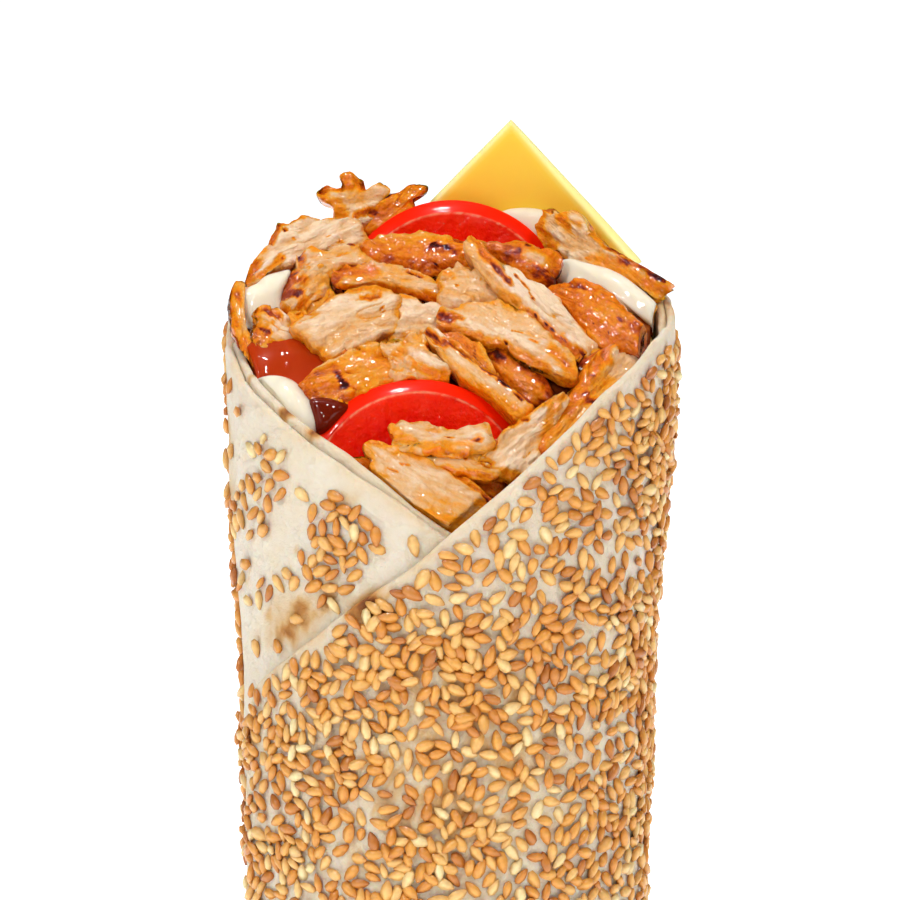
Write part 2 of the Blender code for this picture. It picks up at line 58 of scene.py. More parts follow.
# Shape of the roll in mm: outer radius at a height, and shift towards +X at a height
ROLL_RADIUS = (
    (10.2, 29.6), (20, 30.4), (40, 31.2), (60, 31.8), (82, 32.2), (100, 32.6), (120, 33.2),
    (135, 33.9), (150, 35.0), (160, 35.7), (170, 36.2), (180, 36.1), (190, 36.0),
)
ROLL_SHIFT = ((82, -0.9), (120, -0.6), (155, -0.2), (170, 0.0))
CROSSING_HEIGHT = 149.0            # where the two front edges cross
FIRST_ANGLE = 60.0                 # degrees from the front towards +X, where the sheets start
BREAD_THICKNESS = 1.3
MEAN_RADIUS = 34.0
CORNER_RADIUS = 8.0                # of the rounded corner over the tucked end
CORNER_HEIGHT = 10.2               # where that corner begins

# The two sheets by their turn in degrees: outer face from the roll's radius (mm), and top edge from
# the crossing height (mm)
SESAME_TURN = 490.0
SESAME_OFFSET = ((0, -1.45), (60, -0.8), (130, 0), (330, 0), (360, 0.2), (420, 0.85), (490, 1.65))
SESAME_EDGE = (
    (0, -24), (6, -20), (20, -15), (40, -8), (55, -3), (62, -0.2), (72, 4.4), (80, 7.2), (88, 9.9),
    (99, 13), (104, 14.8), (112, 17.2), (135, 22.5), (147, 24.5), (160, 28), (175, 31), (200, 34),
    (240, 36), (270, 35), (290, 33), (310, 31), (330, 28.2), (341, 27.9), (355.5, 27.1),
    (365.3, 24), (379, 21), (387.5, 16.5), (396, 12.5), (404, 8.2), (415, 2.5), (420, 0),
    (424, -2.5), (431.5, -6.5), (440, -9.8), (449, -14), (457, -18.2), (475, -25.8), (482, -28.8),
    (487, -34), (490, -42),
)
INNER_TURN = 350.0
INNER_OFFSET = ((0, -2.85), (60, -2.2), (130, -1.4), (350, -1.4))
INNER_EDGE = (
    (0, -10), (40, -6), (59, -0.5), (68, 3), (78.5, 7.8), (86.5, 11.2), (100.7, 15), (110.7, 17.9),
    (122.5, 20.8), (140, 23.6), (155, 27.5), (175, 33), (200, 35.5), (240, 37), (280, 36),
    (310, 33), (320, 30.5), (330, 27), (340, 22), (350, 16),
)
INNER_BOTTOM = 10.6

# Wall of the filling room from the roll's radius (mm) by turn, and top of the heap (mm) by the
# distance behind the axis (mm)
ROOM_OFFSET = ((0, -4.75), (60, -4.1), (130, -3.3), (325, -3.3), (345, -4.75), (360, -4.75))
HEAP_HEIGHT = (
    (-34, 146), (-30, 152), (-24, 160), (-16, 170), (-8, 176.5), (0, 180), (10, 184), (20, 187),
    (28, 189),
)

# Camera geometry
TILT = math.radians(12.0)
DISTANCE = 0.75
AIM = np.array((0.0, 0.0, 0.155))
FOCAL_PX = 4650.0
PX_PER_MM = 6.2                   # in the plane through the axis of the roll
PICTURE_PX = 900.0
MIDDLE_PX = 0.5 * PICTURE_PX
AHEAD = np.array((0.0, math.cos(TILT), -math.sin(TILT)))
ABOVE = np.array((0.0, math.sin(TILT), math.cos(TILT)))
ACROSS = np.array((1.0, 0.0, 0.0))
EYE = AIM - DISTANCE * AHEAD

# Chicken slices, as they lie in the picture. Each has: distance behind the axis (mm), lean and yaw
# (degrees), thickness (mm), lumpiness, outline (px), browning strokes (x, y, x, y, radius in px,
# value) where 0 is pale meat, 0.5 glazed amber, 0.8 dark brown and 1 charred, and a base browning.
# Some strokes and bases are painted shade, as the notes at those slices say.
SLICES = {
    "rear_shred": (26, 20, 0, 4, 1.5, 0.1, (
        (317, 196), (320, 190), (326, 186), (333, 188), (340, 187), (342, 183), (340, 178), (344, 172),
        (350, 170), (355, 174), (361, 179), (365, 184), (367, 190), (373, 187), (380, 183), (387, 186),
        (391, 192), (386, 200), (377, 208), (372, 220), (362, 232), (345, 234), (334, 224), (331, 215),
        (330, 209), (323, 205)), (
        (320, 190, 324, 202, 7, .75), (326, 188, 340, 190, 5, .6), (345, 175, 350, 174, 6, .5),
        (342, 185, 350, 186, 5, .6), (352, 178, 364, 190, 4, .6), (361, 181, 363, 183, 2, 1),
        (333, 214, 345, 219, 6, .6), (355, 219, 372, 213, 4, .65), (330, 205, 340, 212, 8, .45))),
    "rear_strip": (25.3, 20, 0, 3.5, 1, 0.45, (
        (364, 216), (370, 206), (380, 199), (391, 194), (401, 190), (409, 185), (420, 185), (428, 188),
        (424, 195), (416, 196), (414, 212), (404, 232), (380, 240), (364, 236)), (
        (370, 206, 392, 194, 3, 1), (380, 201, 386, 198, 3, 1.05), (411, 188, 414, 192, 3, .9),
        (404, 190, 424, 189, 5, .6), (368, 213, 374, 214, 4, .9))),
    "rear_left": (13, 40, 15, 4, 1.1, 0.02, (
        (246, 285), (248, 272), (254, 262), (260, 254), (268, 248), (271, 240), (275, 232), (277, 226),
        (280, 224), (286, 225), (292, 221), (301, 219), (309, 218), (316, 221), (330, 220), (342, 222),
        (353, 221), (359, 224), (363, 231), (368, 238), (371, 244), (362, 249), (350, 254), (335, 256),
        (318, 256), (300, 262), (290, 270), (275, 273), (263, 282), (254, 289)), (
        (270, 246, 280, 226, 5, .7), (280, 226, 300, 221, 5, .55), (283, 234, 284, 235, 3, .95),
        (278, 226, 279, 228, 2.5, .95), (246, 284, 256, 266, 6, .65), (262, 280, 280, 263, 4, .5),
        (279, 261, 281, 264, 2.5, .8), (254, 276, 255, 277, 2, 1), (300, 219, 330, 221, 2.5, .35),
        (292, 243, 293, 244, 1.5, .7), (325, 241, 326, 242, 1, .7), (338, 246, 340, 247, 1.5, .6),
        (258, 256, 262, 254, 4, .4), (246, 284, 262, 282, 4, .6))),
    "under_rear_left": (8.5, 45, 5, 4, 1.2, 0.15, (
        (295, 272), (297, 260), (302, 254), (309, 251), (320, 255), (333, 255), (343, 248), (350, 244),
        (358, 250), (368, 259), (376, 266), (366, 271), (350, 271), (338, 275), (330, 283), (315, 285),
        (303, 280)), (
        (300, 256, 301, 272, 4, .9), (299, 262, 300, 268, 2.5, 1.05), (346, 247, 354, 250, 4, .85),
        (308, 253, 325, 257, 3, .4), (360, 262, 374, 266, 3, .3))),
    "long_glazed": (11, 45, 0, 5, 1, 0.35, (
        (358, 249), (367, 244), (380, 241), (400, 240), (420, 238), (440, 240), (455, 241), (468, 246),
        (478, 256), (482, 268), (478, 279), (465, 277), (452, 277), (440, 279), (425, 281), (410, 277),
        (395, 272), (380, 268), (370, 263), (362, 256)), (
        (360, 250, 372, 246, 5, .6), (375, 252, 380, 254, 3, .85), (378, 254, 380, 255, 1.8, 1),
        # the stroke of 0.72 along the lower part is painted shade on the underside
        (372, 258, 470, 262, 12, .55), (385, 270, 475, 276, 9, .72), (425, 258, 450, 262, 4, .7),
        (433, 253, 438, 254, 3.2, 1.15), (445, 257, 448, 259, 3.2, 1.15), (428, 256, 430, 257, 1.5, .95),
        (455, 263, 458, 265, 2, .9), (380, 242, 450, 242, 2.5, .3))),
    "glazed_rear": (9.5, 42, -8, 4.5, 1.2, 0.5, (
        (470, 243), (480, 243), (492, 244), (506, 245), (520, 245), (534, 249), (548, 252), (557, 252),
        (563, 258), (562, 268), (557, 278), (556, 288), (545, 290), (532, 288), (518, 280), (505, 270),
        (492, 260), (480, 252)), (
        (478, 246, 530, 252, 8, .58), (495, 258, 535, 272, 8, .72), (508, 262, 520, 260, 3, .9),
        # the stroke of 0.95 at its lower right is painted shade, the dark gap beside the slice
        (528, 252, 531, 253, 2.4, 1.1), (515, 262, 516, 263, 2, 1), (540, 280, 555, 286, 8, .95),
        (545, 268, 556, 266, 5, .6), (530, 264, 542, 268, 5, .12))),
    "dark_chunk": (4, 40, 20, 5, 1.7, 0.2, (
        (277, 303), (279, 290), (285, 279), (293, 273), (303, 271), (315, 270), (325, 273), (331, 281),
        (330, 292), (332, 299), (324, 304), (314, 309), (305, 314), (297, 321), (289, 328), (283, 319),
        (278, 312)), (
        (279, 300, 290, 280, 7, .8), (288, 281, 292, 282, 3, 1), (285, 300, 296, 300, 5, .85),
        (292, 303, 294, 304, 2.5, 1.05), (290, 290, 300, 288, 5, .7), (283, 318, 290, 324, 5, .85),
        (300, 310, 296, 316, 5, .6), (303, 272, 318, 273, 3, .45), (329, 296, 330, 298, 2, .95))),
    "thin_strip": (5, 45, 0, 4.5, 1, 0.2, (
        (329, 281), (333, 273), (341, 269), (352, 267), (365, 266), (376, 268), (390, 270), (405, 273),
        (420, 277), (432, 283), (441, 291), (446, 300), (437, 304), (422, 302), (408, 298), (395, 293),
        (382, 290), (370, 288), (355, 291), (345, 292), (335, 290)), (
        (332, 282, 345, 275, 8, .85), (338, 274, 342, 276, 3, 1.05), (333, 280, 335, 281, 2.5, 1.05),
        (345, 280, 372, 278, 7, .6), (352, 268, 368, 267, 2, .95), (408, 278, 420, 283, 2, 1.05),
        # the stroke of 0.7 along its lower edge is painted shade on the side face
        (385, 296, 440, 304, 4, .7), (380, 270, 420, 276, 3, .25))),
    "fibrous_left": (-4.5, 40, 10, 4, 1, 0.1, (
        (289, 330), (296, 322), (305, 316), (315, 310), (325, 302), (334, 296), (345, 292), (356, 291),
        (366, 288), (376, 288), (385, 290), (393, 296), (402, 298), (404, 305), (400, 315), (402, 325),
        (395, 335), (385, 338), (378, 345), (368, 350), (355, 355), (345, 360), (335, 364), (328, 365),
        (318, 358), (308, 350), (300, 340)), (
        (290, 328, 310, 314, 3, .6), (310, 314, 335, 297, 3.5, .6), (335, 296, 380, 290, 4, .5),
        (365, 302, 370, 304, 3, 1), (360, 303, 378, 302, 3.5, .75), (372, 297, 385, 293, 3, .45),
        (380, 313, 382, 316, 1.2, .85), (330, 365, 350, 358, 2.5, .35))),
    "middle_scrap": (-3, 45, 0, 4, 1.3, 0.08, (
        (398, 299), (410, 299), (420, 305), (432, 307), (443, 310), (446, 317), (440, 323), (438, 330),
        (444, 335), (450, 340), (438, 345), (424, 342), (412, 343), (402, 346), (390, 346), (386, 338),
        (396, 328), (400, 318), (400, 308)), (
        (400, 300, 425, 308, 2, .4), (436, 340, 446, 336, 3, .5), (404, 342, 420, 340, 3, .35))),
    "lumpy_middle": (2, 45, 0, 4.5, 1.5, 0.1, (
        (436, 304), (438, 293), (435, 284), (440, 276), (450, 272), (458, 271), (468, 272), (476, 274),
        (485, 282), (494, 291), (504, 301), (494, 308), (480, 310), (468, 310), (458, 316), (447, 316),
        (440, 311)), (
        (455, 292, 457, 294, 1.5, .8), (435, 288, 440, 296, 4, .45), (470, 273, 478, 276, 3, .3),
        (441, 276, 452, 282, 3, .4), (450, 300, 490, 306, 5, .22))),
    "long_right": (-1, 40, -5, 5, 0.9, 0.0, (
        (463, 245), (468, 240), (476, 243), (484, 250), (495, 260), (508, 270), (520, 277), (532, 286),
        (545, 291), (552, 297), (560, 305), (570, 318), (580, 330), (590, 342), (598, 350), (592, 357),
        (583, 366), (572, 363), (560, 353), (548, 343), (537, 334), (525, 326), (513, 313), (500, 301),
        (490, 289), (480, 276), (470, 263), (464, 253)), (
        (466, 252, 505, 305, 7, .22), (472, 244, 500, 266, 5, .6), (480, 258, 500, 276, 5, .7),
        (493, 272, 500, 278, 3, 1), (500, 278, 512, 292, 4, .85), (516, 283, 530, 298, 1.6, .8),
        (530, 300, 534, 306, 1.5, .9), (505, 300, 540, 333, 6, .4), (528, 320, 583, 363, 5.5, .6),
        (544, 328, 547, 330, 2, 1.1), (552, 335, 555, 338, 2, 1.1), (536, 322, 537, 323, 1.5, 1),
        (582, 357, 585, 359, 2, 1.1), (562, 344, 567, 348, 1.5, .95))),
    "pale_middle": (-9, 45, -5, 4, 0.9, 0.1, (
        (435, 322), (437, 317), (442, 312), (450, 314), (458, 312), (463, 308), (475, 305), (490, 305),
        (500, 303), (515, 308), (530, 318), (545, 332), (560, 346), (570, 356), (577, 366), (578, 378),
        (572, 384), (560, 380), (545, 373), (530, 367), (515, 359), (505, 352), (490, 349), (478, 344),
        (465, 340), (455, 337), (445, 333), (438, 329)), (
        (437, 320, 452, 326, 6, .72), (440, 317, 448, 323, 3.5, .95), (452, 320, 462, 326, 2.5, .7),
        (442, 312, 462, 312, 3, .35), (440, 332, 505, 351, 4.5, .5), (505, 352, 548, 373, 4, .5),
        (505, 347, 507, 348, 1.6, 1.05), (447, 335, 450, 336, 2, 1), (552, 354, 574, 380, 5, .5),
        (565, 364, 568, 370, 2, .9), (512, 337, 522, 339, 1, .7), (530, 346, 538, 349, 1, .6))),
    # glazed_right: its base browning of 0.42 and the wide stroke of 0.6 are partly painted shade, darkening
    # its lower face
    "glazed_right": (-3, 40, -20, 5, 0.8, 0.42, (
        (549, 291), (560, 287), (572, 285), (580, 284), (592, 287), (604, 290), (612, 296), (622, 305),
        (632, 315), (642, 325), (650, 332), (657, 342), (650, 354), (644, 361), (636, 358), (624, 356),
        (610, 356), (600, 352), (590, 341), (580, 329), (570, 316), (560, 304), (552, 298)), (
        (552, 292, 600, 293, 6, .62), (575, 293, 592, 296, 4, .78), (582, 294, 588, 296, 2, 1),
        (598, 292, 650, 335, 9, .58), (622, 326, 624, 328, 2, .9), (635, 335, 655, 345, 6, .72),
        (640, 332, 648, 338, 3, .8), (565, 308, 630, 352, 11, .6), (645, 350, 648, 356, 4, .6))),
    "nugget": (3, 40, -20, 4.5, 1.2, 0.5, (
        (632, 311), (637, 303), (643, 300), (651, 305), (659, 308), (666, 315), (665, 326), (658, 334),
        (648, 332), (640, 324)), (
        (640, 304, 648, 310, 5, .75), (641, 304, 644, 306, 2.5, .95), (642, 316, 648, 320, 4, .85),
        (652, 312, 664, 320, 5, .3), (648, 328, 658, 332, 5, .85))),
    "rear_right": (13.5, 25, -28, 4.5, 1.5, 0.15, (
        (540, 224), (544, 215), (549, 209), (554, 208), (559, 214), (567, 213), (575, 212), (583, 215),
        (589, 224), (591, 232), (598, 236), (604, 240), (609, 247), (615, 249), (623, 254), (633, 261),
        (645, 267), (656, 274), (668, 281), (678, 288), (674, 297), (670, 304), (660, 302), (650, 295),
        (635, 286), (620, 278), (605, 273), (590, 270), (577, 266), (562, 256), (552, 252), (544, 244),
        (540, 234)), (
        (549, 210, 554, 214, 4, .85), (543, 224, 550, 240, 6, .55), (545, 240, 560, 250, 6, .55),
        (566, 222, 574, 232, 5, .6), (597, 238, 610, 250, 3, .5), (612, 249, 625, 256, 4, .82),
        (600, 262, 650, 285, 7, .45), (630, 263, 645, 270, 5, .7), (631, 264, 634, 268, 2.4, .95),
        (652, 273, 668, 284, 4, 1), (655, 277, 662, 282, 3.5, 1.1), (655, 288, 670, 298, 8, .55),
        (592, 262, 596, 264, 1.6, .6), (645, 268, 655, 274, 3, .85))),
    "dark_edged": (-15, 40, -5, 5, 0.8, 0.14, (
        (424, 338), (430, 332), (437, 334), (445, 342), (452, 349), (462, 354), (475, 364), (485, 371),
        (497, 379), (508, 387), (518, 394), (528, 401), (536, 409), (531, 418), (518, 426), (508, 418),
        (498, 409), (487, 400), (475, 392), (462, 384), (452, 374), (443, 364), (436, 354), (429, 349)), (
        (427, 340, 445, 352, 4, .7), (428, 336, 440, 346, 2.5, .95), (445, 347, 485, 374, 3, .8),
        (485, 375, 532, 406, 4, .88), (500, 388, 512, 396, 2.5, 1.05), (515, 400, 522, 405, 2.5, 1),
        (470, 388, 520, 422, 6, .45), (440, 359, 470, 384, 4, .25))),
    # this slice lies in shade behind its neighbours, and that shade is painted: its base browning of 0.6 and
    # its strokes, of which the one of 1.05 at the upper left is the dark gap above it
    "shaded": (-12.5, 40, -10, 4, 0.8, 0.6, (
        (483, 352), (494, 350), (507, 354), (522, 361), (537, 370), (547, 381), (553, 393), (551, 403),
        (541, 407), (532, 409), (520, 400), (506, 390), (496, 381), (488, 368)), (
        (540, 380, 550, 395, 6, .8), (483, 352, 505, 364, 6, 1.05), (510, 375, 535, 395, 8, .5))),
    "behind_dark_edged": (-12, 40, 0, 4, 1, 0.42, (
        (438, 340), (452, 335), (468, 339), (481, 346), (487, 358), (492, 368), (497, 383), (480, 376),
        (465, 364), (448, 352)), (
        (445, 338, 480, 350, 4, .6), (480, 350, 494, 376, 3, .3))),
    "brown_left": (-14.5, 35, 10, 5, 0.9, 0.4, (
        (296, 387), (304, 380), (313, 373), (323, 367), (335, 361), (347, 354), (358, 350), (370, 347),
        (380, 349), (388, 355), (398, 360), (406, 366), (402, 377), (396, 386), (386, 391), (372, 397),
        (360, 402), (350, 407), (340, 409), (328, 407), (316, 403), (306, 399), (300, 393)), (
        (300, 386, 330, 374, 7, .62), (310, 391, 335, 393, 9, .6), (335, 378, 342, 392, 5, 1.1),
        (330, 372, 345, 374, 5, .65), (345, 366, 395, 386, 9, .36), (312, 375, 345, 358, 2.2, .2),
        (345, 356, 375, 350, 3, .22), (357, 353, 362, 356, 2.5, .6), (314, 379, 316, 380, 2, .9),
        (300, 394, 318, 401, 4, .75), (338, 403, 358, 402, 4, .7))),
    "middle_lumps": (-13, 40, 0, 4.5, 1.8, 0.1, (
        (376, 350), (386, 343), (400, 338), (413, 337), (426, 339), (434, 347), (434, 356), (441, 361),
        (450, 367), (454, 376), (448, 386), (432, 389), (416, 387), (404, 387), (392, 389), (386, 381),
        (390, 370), (386, 360)), (
        (415, 374, 447, 385, 7, .55), (392, 364, 397, 368, 2.4, .8), (410, 350, 430, 356, 3, .3),
        (428, 350, 434, 358, 2.6, .9), (412, 366, 416, 372, 3, .6))),
    "spiky_left": (-5, 35, 30, 4, 1.3, 0.15, (
        (252, 338), (255, 328), (258, 320), (254, 313), (257, 307), (265, 308), (272, 312), (280, 320),
        (288, 330), (296, 336), (303, 346), (305, 352), (290, 353), (275, 352), (262, 353), (255, 348)), (
        (256, 312, 268, 314, 4, .65), (263, 313, 267, 318, 3, .95), (255, 328, 262, 338, 6, .7),
        (258, 332, 264, 336, 3, .95), (268, 318, 275, 322, 3, .8), (262, 347, 285, 350, 4, .5),
        (285, 332, 300, 343, 3, .35), (253, 330, 256, 345, 4, .7))),
    "rim_left": (-4, 50, 20, 3, 1, 0.35, (
        (229, 298), (232, 289), (237, 285), (243, 290), (243, 305), (245, 322), (250, 340), (256, 350),
        (258, 362), (255, 376), (247, 371), (241, 360), (237, 345), (233, 328), (230, 312)), (
        (236, 298, 238, 306, 3.5, .78), (231, 312, 235, 330, 3, .6), (242, 345, 252, 372, 5, .62),
        (240, 310, 244, 335, 2.6, .2))),
    "right_lower": (-24, 30, 15, 4.5, 1.3, 0.06, (
        (477, 463), (480, 456), (487, 452), (495, 447), (497, 440), (503, 433), (512, 427), (520, 419),
        (530, 414), (540, 407), (550, 401), (562, 398), (568, 402), (562, 414), (556, 426), (550, 440),
        (545, 452), (537, 464), (528, 473), (519, 483), (508, 483), (498, 479), (487, 472)), (
        (482, 462, 488, 468, 4, .85), (488, 472, 515, 481, 4, .55), (480, 456, 492, 450, 3, .5),
        (500, 436, 525, 418, 3, .5), (519, 422, 524, 424, 3, .8), (530, 414, 560, 401, 3.5, .45),
        # the stroke of 0.4 down its right side is painted shade
        (550, 412, 538, 455, 6, .4))),
    "right_upright": (-15, 35, 34, 5, 1, 0.35, (
        (584, 367), (592, 356), (601, 351), (608, 347), (612, 351), (614, 357), (624, 354), (634, 352),
        (643, 356), (650, 364), (646, 378), (632, 394), (617, 408), (602, 422), (587, 436), (572, 449),
        (558, 459), (546, 464), (537, 459), (536, 450), (540, 440), (545, 430), (552, 420), (560, 410),
        (566, 398), (572, 388), (578, 378)), (
        (572, 390, 545, 445, 7, .58), (600, 352, 560, 420, 7, .58), (598, 360, 604, 372, 4, .75),
        (580, 405, 596, 418, 6, .9), (584, 410, 590, 416, 4, 1.05), (596, 401, 598, 403, 2, 1.05),
        (582, 382, 586, 384, 2, .95), (602, 396, 606, 399, 2, .8), (612, 362, 630, 366, 8, .08),
        (606, 377, 620, 380, 7, .12), (640, 356, 648, 364, 4, .55), (560, 430, 545, 452, 6, .35),
        (625, 392, 605, 412, 5, .45), (610, 356, 612, 358, 1.5, 1), (544, 456, 550, 459, 3, .65))),
    "front_bit": (-24.5, 30, 0, 4, 1, 0.62, (
        (462, 478), (478, 474), (494, 474), (505, 480), (504, 492), (495, 502), (484, 502), (472, 490)), (
        (480, 480, 496, 492, 6, .55),)),
    "over_tomato": (-26.5, 35, 0, 4, 1.6, 0.1, (
        (389, 428), (398, 424), (410, 426), (425, 424), (435, 428), (450, 431), (462, 433), (470, 429),
        (477, 426), (486, 426), (490, 432), (492, 438), (498, 446), (492, 452), (478, 455), (460, 460),
        (440, 459), (425, 456), (410, 455), (400, 455), (392, 449), (395, 441), (391, 435)), (
        (393, 430, 398, 446, 4, .4), (398, 438, 412, 448, 6, .42), (472, 440, 477, 446, 3, 1.05),
        (459, 441, 461, 443, 1.8, 1), (447, 441, 449, 443, 1.2, .85), (425, 455, 475, 459, 4, .6),
        (415, 450, 470, 449, 4, .36))),
    "front_strip": (-27.5, 30, 0, 3.5, 1.2, 0.15, (
        (421, 460), (436, 457), (450, 455), (463, 457), (476, 455), (485, 458), (494, 466), (501, 477),
        (488, 483), (474, 482), (458, 478), (442, 473), (430, 468)), (
        (440, 472, 495, 481, 4, .58), (464, 460, 466, 462, 1.6, 1), (482, 464, 487, 468, 3, .85),
        (470, 456, 480, 458, 2, .3))),
    "left_bit": (-25.5, 30, 0, 3, 1, 0.6, (
        (352, 461), (361, 457), (372, 461), (378, 470), (370, 477), (360, 470)), ()),
    "front_large": (-29, 25, 5, 4, 0.9, 0.15, (
        (361, 446), (366, 441), (378, 442), (390, 446), (400, 445), (412, 448), (420, 450), (430, 454),
        (440, 461), (452, 469), (463, 477), (475, 485), (486, 494), (492, 501), (488, 510), (480, 520),
        (470, 530), (460, 538), (448, 538), (434, 530), (420, 520), (406, 509), (394, 498), (383, 487),
        (373, 476), (369, 468), (371, 461), (364, 454)), (
        (425, 455, 488, 500, 3.6, .62), (435, 460, 460, 476, 3.4, .75), (455, 471, 460, 475, 2, .95),
        (482, 498, 488, 504, 3, 1.05), (478, 506, 488, 508, 4, .55), (414, 455, 418, 459, 3, .55),
        (363, 445, 395, 447, 3, .5), (366, 450, 372, 458, 4, .4), (410, 512, 470, 530, 5, .42),
        (388, 471, 396, 474, 1.4, .75), (400, 467, 408, 468, 1.2, .7))),
    "crossing_bit": (-29.5, 30, 0, 3, 1, 0.72, (
        (436, 524), (446, 521), (456, 523), (461, 531), (452, 540), (442, 535)), ()),
}

# Sauces: distance behind the axis (mm), lean, yaw (degrees), thickness (mm), outline (px)
MAYONNAISE = {
    "mayonnaise_rear": (27, 12, 0, 5, (
        (500, 216), (506, 210), (518, 208), (530, 208), (542, 210), (552, 216), (556, 230), (552, 246),
        (540, 250), (524, 238))),
    "mayonnaise_right": (6.5, 30, -28, 6, (
        (554, 276), (559, 264), (571, 260), (584, 263), (598, 267), (612, 271), (626, 278), (638, 287),
        (650, 297), (661, 308), (667, 320), (664, 332), (652, 328), (640, 318), (628, 312), (614, 305),
        (600, 296), (585, 292), (568, 292))),
    "mayonnaise_left": (2.5, 25, 20, 6, (
        (239, 296), (246, 289), (256, 284), (264, 277), (276, 273), (289, 271), (287, 281), (282, 292),
        (280, 304), (282, 318), (272, 330), (258, 336), (247, 332), (241, 318), (238, 305))),
    "mayonnaise_front": (-17, 20, -30, 6, (
        (256, 382), (266, 377), (278, 376), (290, 379), (299, 387), (306, 396), (312, 408), (316, 424),
        (312, 434), (300, 432), (284, 418), (270, 402), (260, 390))),
}
RED_SAUCE = {
    "red_sauce_pool": (-9.5, 50, 10, 4, (
        (240, 366), (243, 350), (256, 341), (286, 338), (318, 344), (342, 356), (346, 376), (330, 392),
        (302, 402), (268, 398), (246, 384))),
    "red_sauce_drip": (-18.5, 30, 5, 5, (
        (308, 404), (318, 399), (332, 400), (346, 404), (350, 412), (338, 424), (324, 434), (314, 430))),
}
# Tomatoes: middle right of and above the picture's middle (mm), distance behind the axis (mm), lean
# and yaw (degrees)
TOMATOES = {"tomato_slice_rear": (0.3, 21.3, 21, 8, 0), "tomato_slice_front": (-5, -8.5, -20, 12, 4)}

# Seed density patches as seen in the picture: x, y, radius (px), density where 1 is packed
SEED_PATCHES = (
    (265, 448, 16, .55), (262, 490, 22, .55), (248, 520, 18, .5), (300, 492, 14, .35), (328, 515, 20, 1),
    (346, 538, 30, 1.15), (344, 546, 16, 1.15), (330, 562, 28, 1), (368, 545, 16, .9), (305, 550, 14, .4),
    (272, 590, 12, .4),
    (335, 592, 20, .6), (290, 582, 12, .6), (246, 570, 10, .4), (252, 600, 10, .4),
)
FLAP_PATCHES = (
    (452, 808, 13, .1), (560, 600, 17, .3), (612, 560, 20, .25), (600, 640, 18, .35), (535, 520, 14, .35),
    (575, 480, 14, .35), (520, 640, 12, .35), (640, 560, 16, .4), (300, 655, 14, .4), (265, 820, 16, .35),
    (560, 760, 16, .4), (480, 560, 12, .4), (620, 730, 18, .45), (600, 850, 16, .4), (380, 700, 10, .5),
    (662, 440, 34, 1.8), (405, 655, 50, 1.45), (330, 745, 40, 1.4), (470, 705, 36, 1.4), (500, 640, 26, 1.5),
    (420, 850, 45, 1.4), (640, 660, 22, 1.3),
)
# Toasted patches of the bread as seen in the picture: x, y, radius (px), strength. The first and
# widest, over the lower middle, is partly painted shade: the tint of the seeds' shadows on the bread.
TOAST_AND_SHADE_PATCHES = (
    (440, 760, 130, .26), (560, 640, 50, .1), (285, 628, 19, .52), (300, 612, 22, .45), (325, 600, 14, .36),
    (360, 612, 14, .42), (380, 605, 15, .72), (395, 612, 12, .4), (458, 800, 16, .5),
    (450, 822, 12, .4), (253, 735, 9, .45), (330, 577, 10, .35),
    (350, 500, 12, .3), (470, 640, 12, .25), (560, 520, 14, .2), (600, 470, 14, .2), (288, 412, 6, .5),
    (315, 432, 6, .5), (640, 395, 8, .3), (608, 430, 10, .25), (430, 745, 14, .35), (520, 700, 12, .3),
)


# Small numerics
def lookup(table, where, soften=0.0):
    """Reading of a table of (position, value) pairs along straight lines, averaged over +-soften."""
    positions, values = np.array(table, float).T
    if soften == 0.0:
        return np.interp(where, positions, values)
    shifts = np.linspace(-soften, soften, 9)
    return np.mean([np.interp(where + shift, positions, values) for shift in shifts], axis=0)


def step(value, low, high):
    """0 below low, 1 above high, and 3t^2 - 2t^3 between."""
    part = np.clip((np.asarray(value, float) - low) / (high - low), 0.0, 1.0)
    return part * part * (3.0 - 2.0 * part)


def noise(points, size, seed=0):
    """Value noise from -1 to 1: each corner of a lattice with cells of `size` has a hashed value,
    and the eight values round a point are blended by 3t^2 - 2t^3 along each axis."""
    scaled = np.asarray(points, float) / np.asarray(size, float)
    base = np.floor(scaled).astype(np.int64)
    part = scaled - base
    part = part * part * (3.0 - 2.0 * part)
    total = np.zeros(scaled.shape[:-1])
    for corner in range(8):
        ahead = np.array([(corner >> axis) & 1 for axis in range(3)])
        key = (base + ahead) @ np.array((73856093, 19349663, 83492791)) + seed * 7919
        key = (key ^ (key >> 13)) * 1274126177
        value = ((key ^ (key >> 16)) & 0xFFFF) / 32767.5 - 1.0
        total += value * np.prod(np.where(ahead == 1, part, 1.0 - part), axis=-1)
    return total


def fractal(points, size, octaves=4, seed=0):
    """Noise summed over octaves, each half as wide and half as strong as the one before."""
    size = np.asarray(size, float)
    return sum(noise(points, size / 2**k, seed + 31 * k) / 2**k for k in range(octaves))


def sight_ray(px):
    """Unscaled direction of the line of sight through picture points (…, 2)."""
    px = np.asarray(px, float)
    return AHEAD + (ACROSS * (px[..., :1] - MIDDLE_PX) + ABOVE * (MIDDLE_PX - px[..., 1:])) / FOCAL_PX


def seen_at(points):
    """Picture position (x, y in px) of points: offset from the line of sight over the distance."""
    away = np.asarray(points, float) - EYE
    scale = FOCAL_PX / (away @ AHEAD)
    return np.stack([MIDDLE_PX + scale * (away @ ACROSS), MIDDLE_PX - scale * (away @ ABOVE)], -1)


def plane_axes(lean, yaw):
    """Right, up and front-facing unit vectors of a plane that leans back and is then yawed."""
    lean, yaw = math.radians(lean), math.radians(yaw)
    right = np.array((math.cos(yaw), math.sin(yaw), 0.0))
    back = np.array((-math.sin(yaw), math.cos(yaw), 0.0))
    up = math.cos(lean) * np.array((0.0, 0.0, 1.0)) + math.sin(lean) * back
    return right, up, np.cross(right, up)


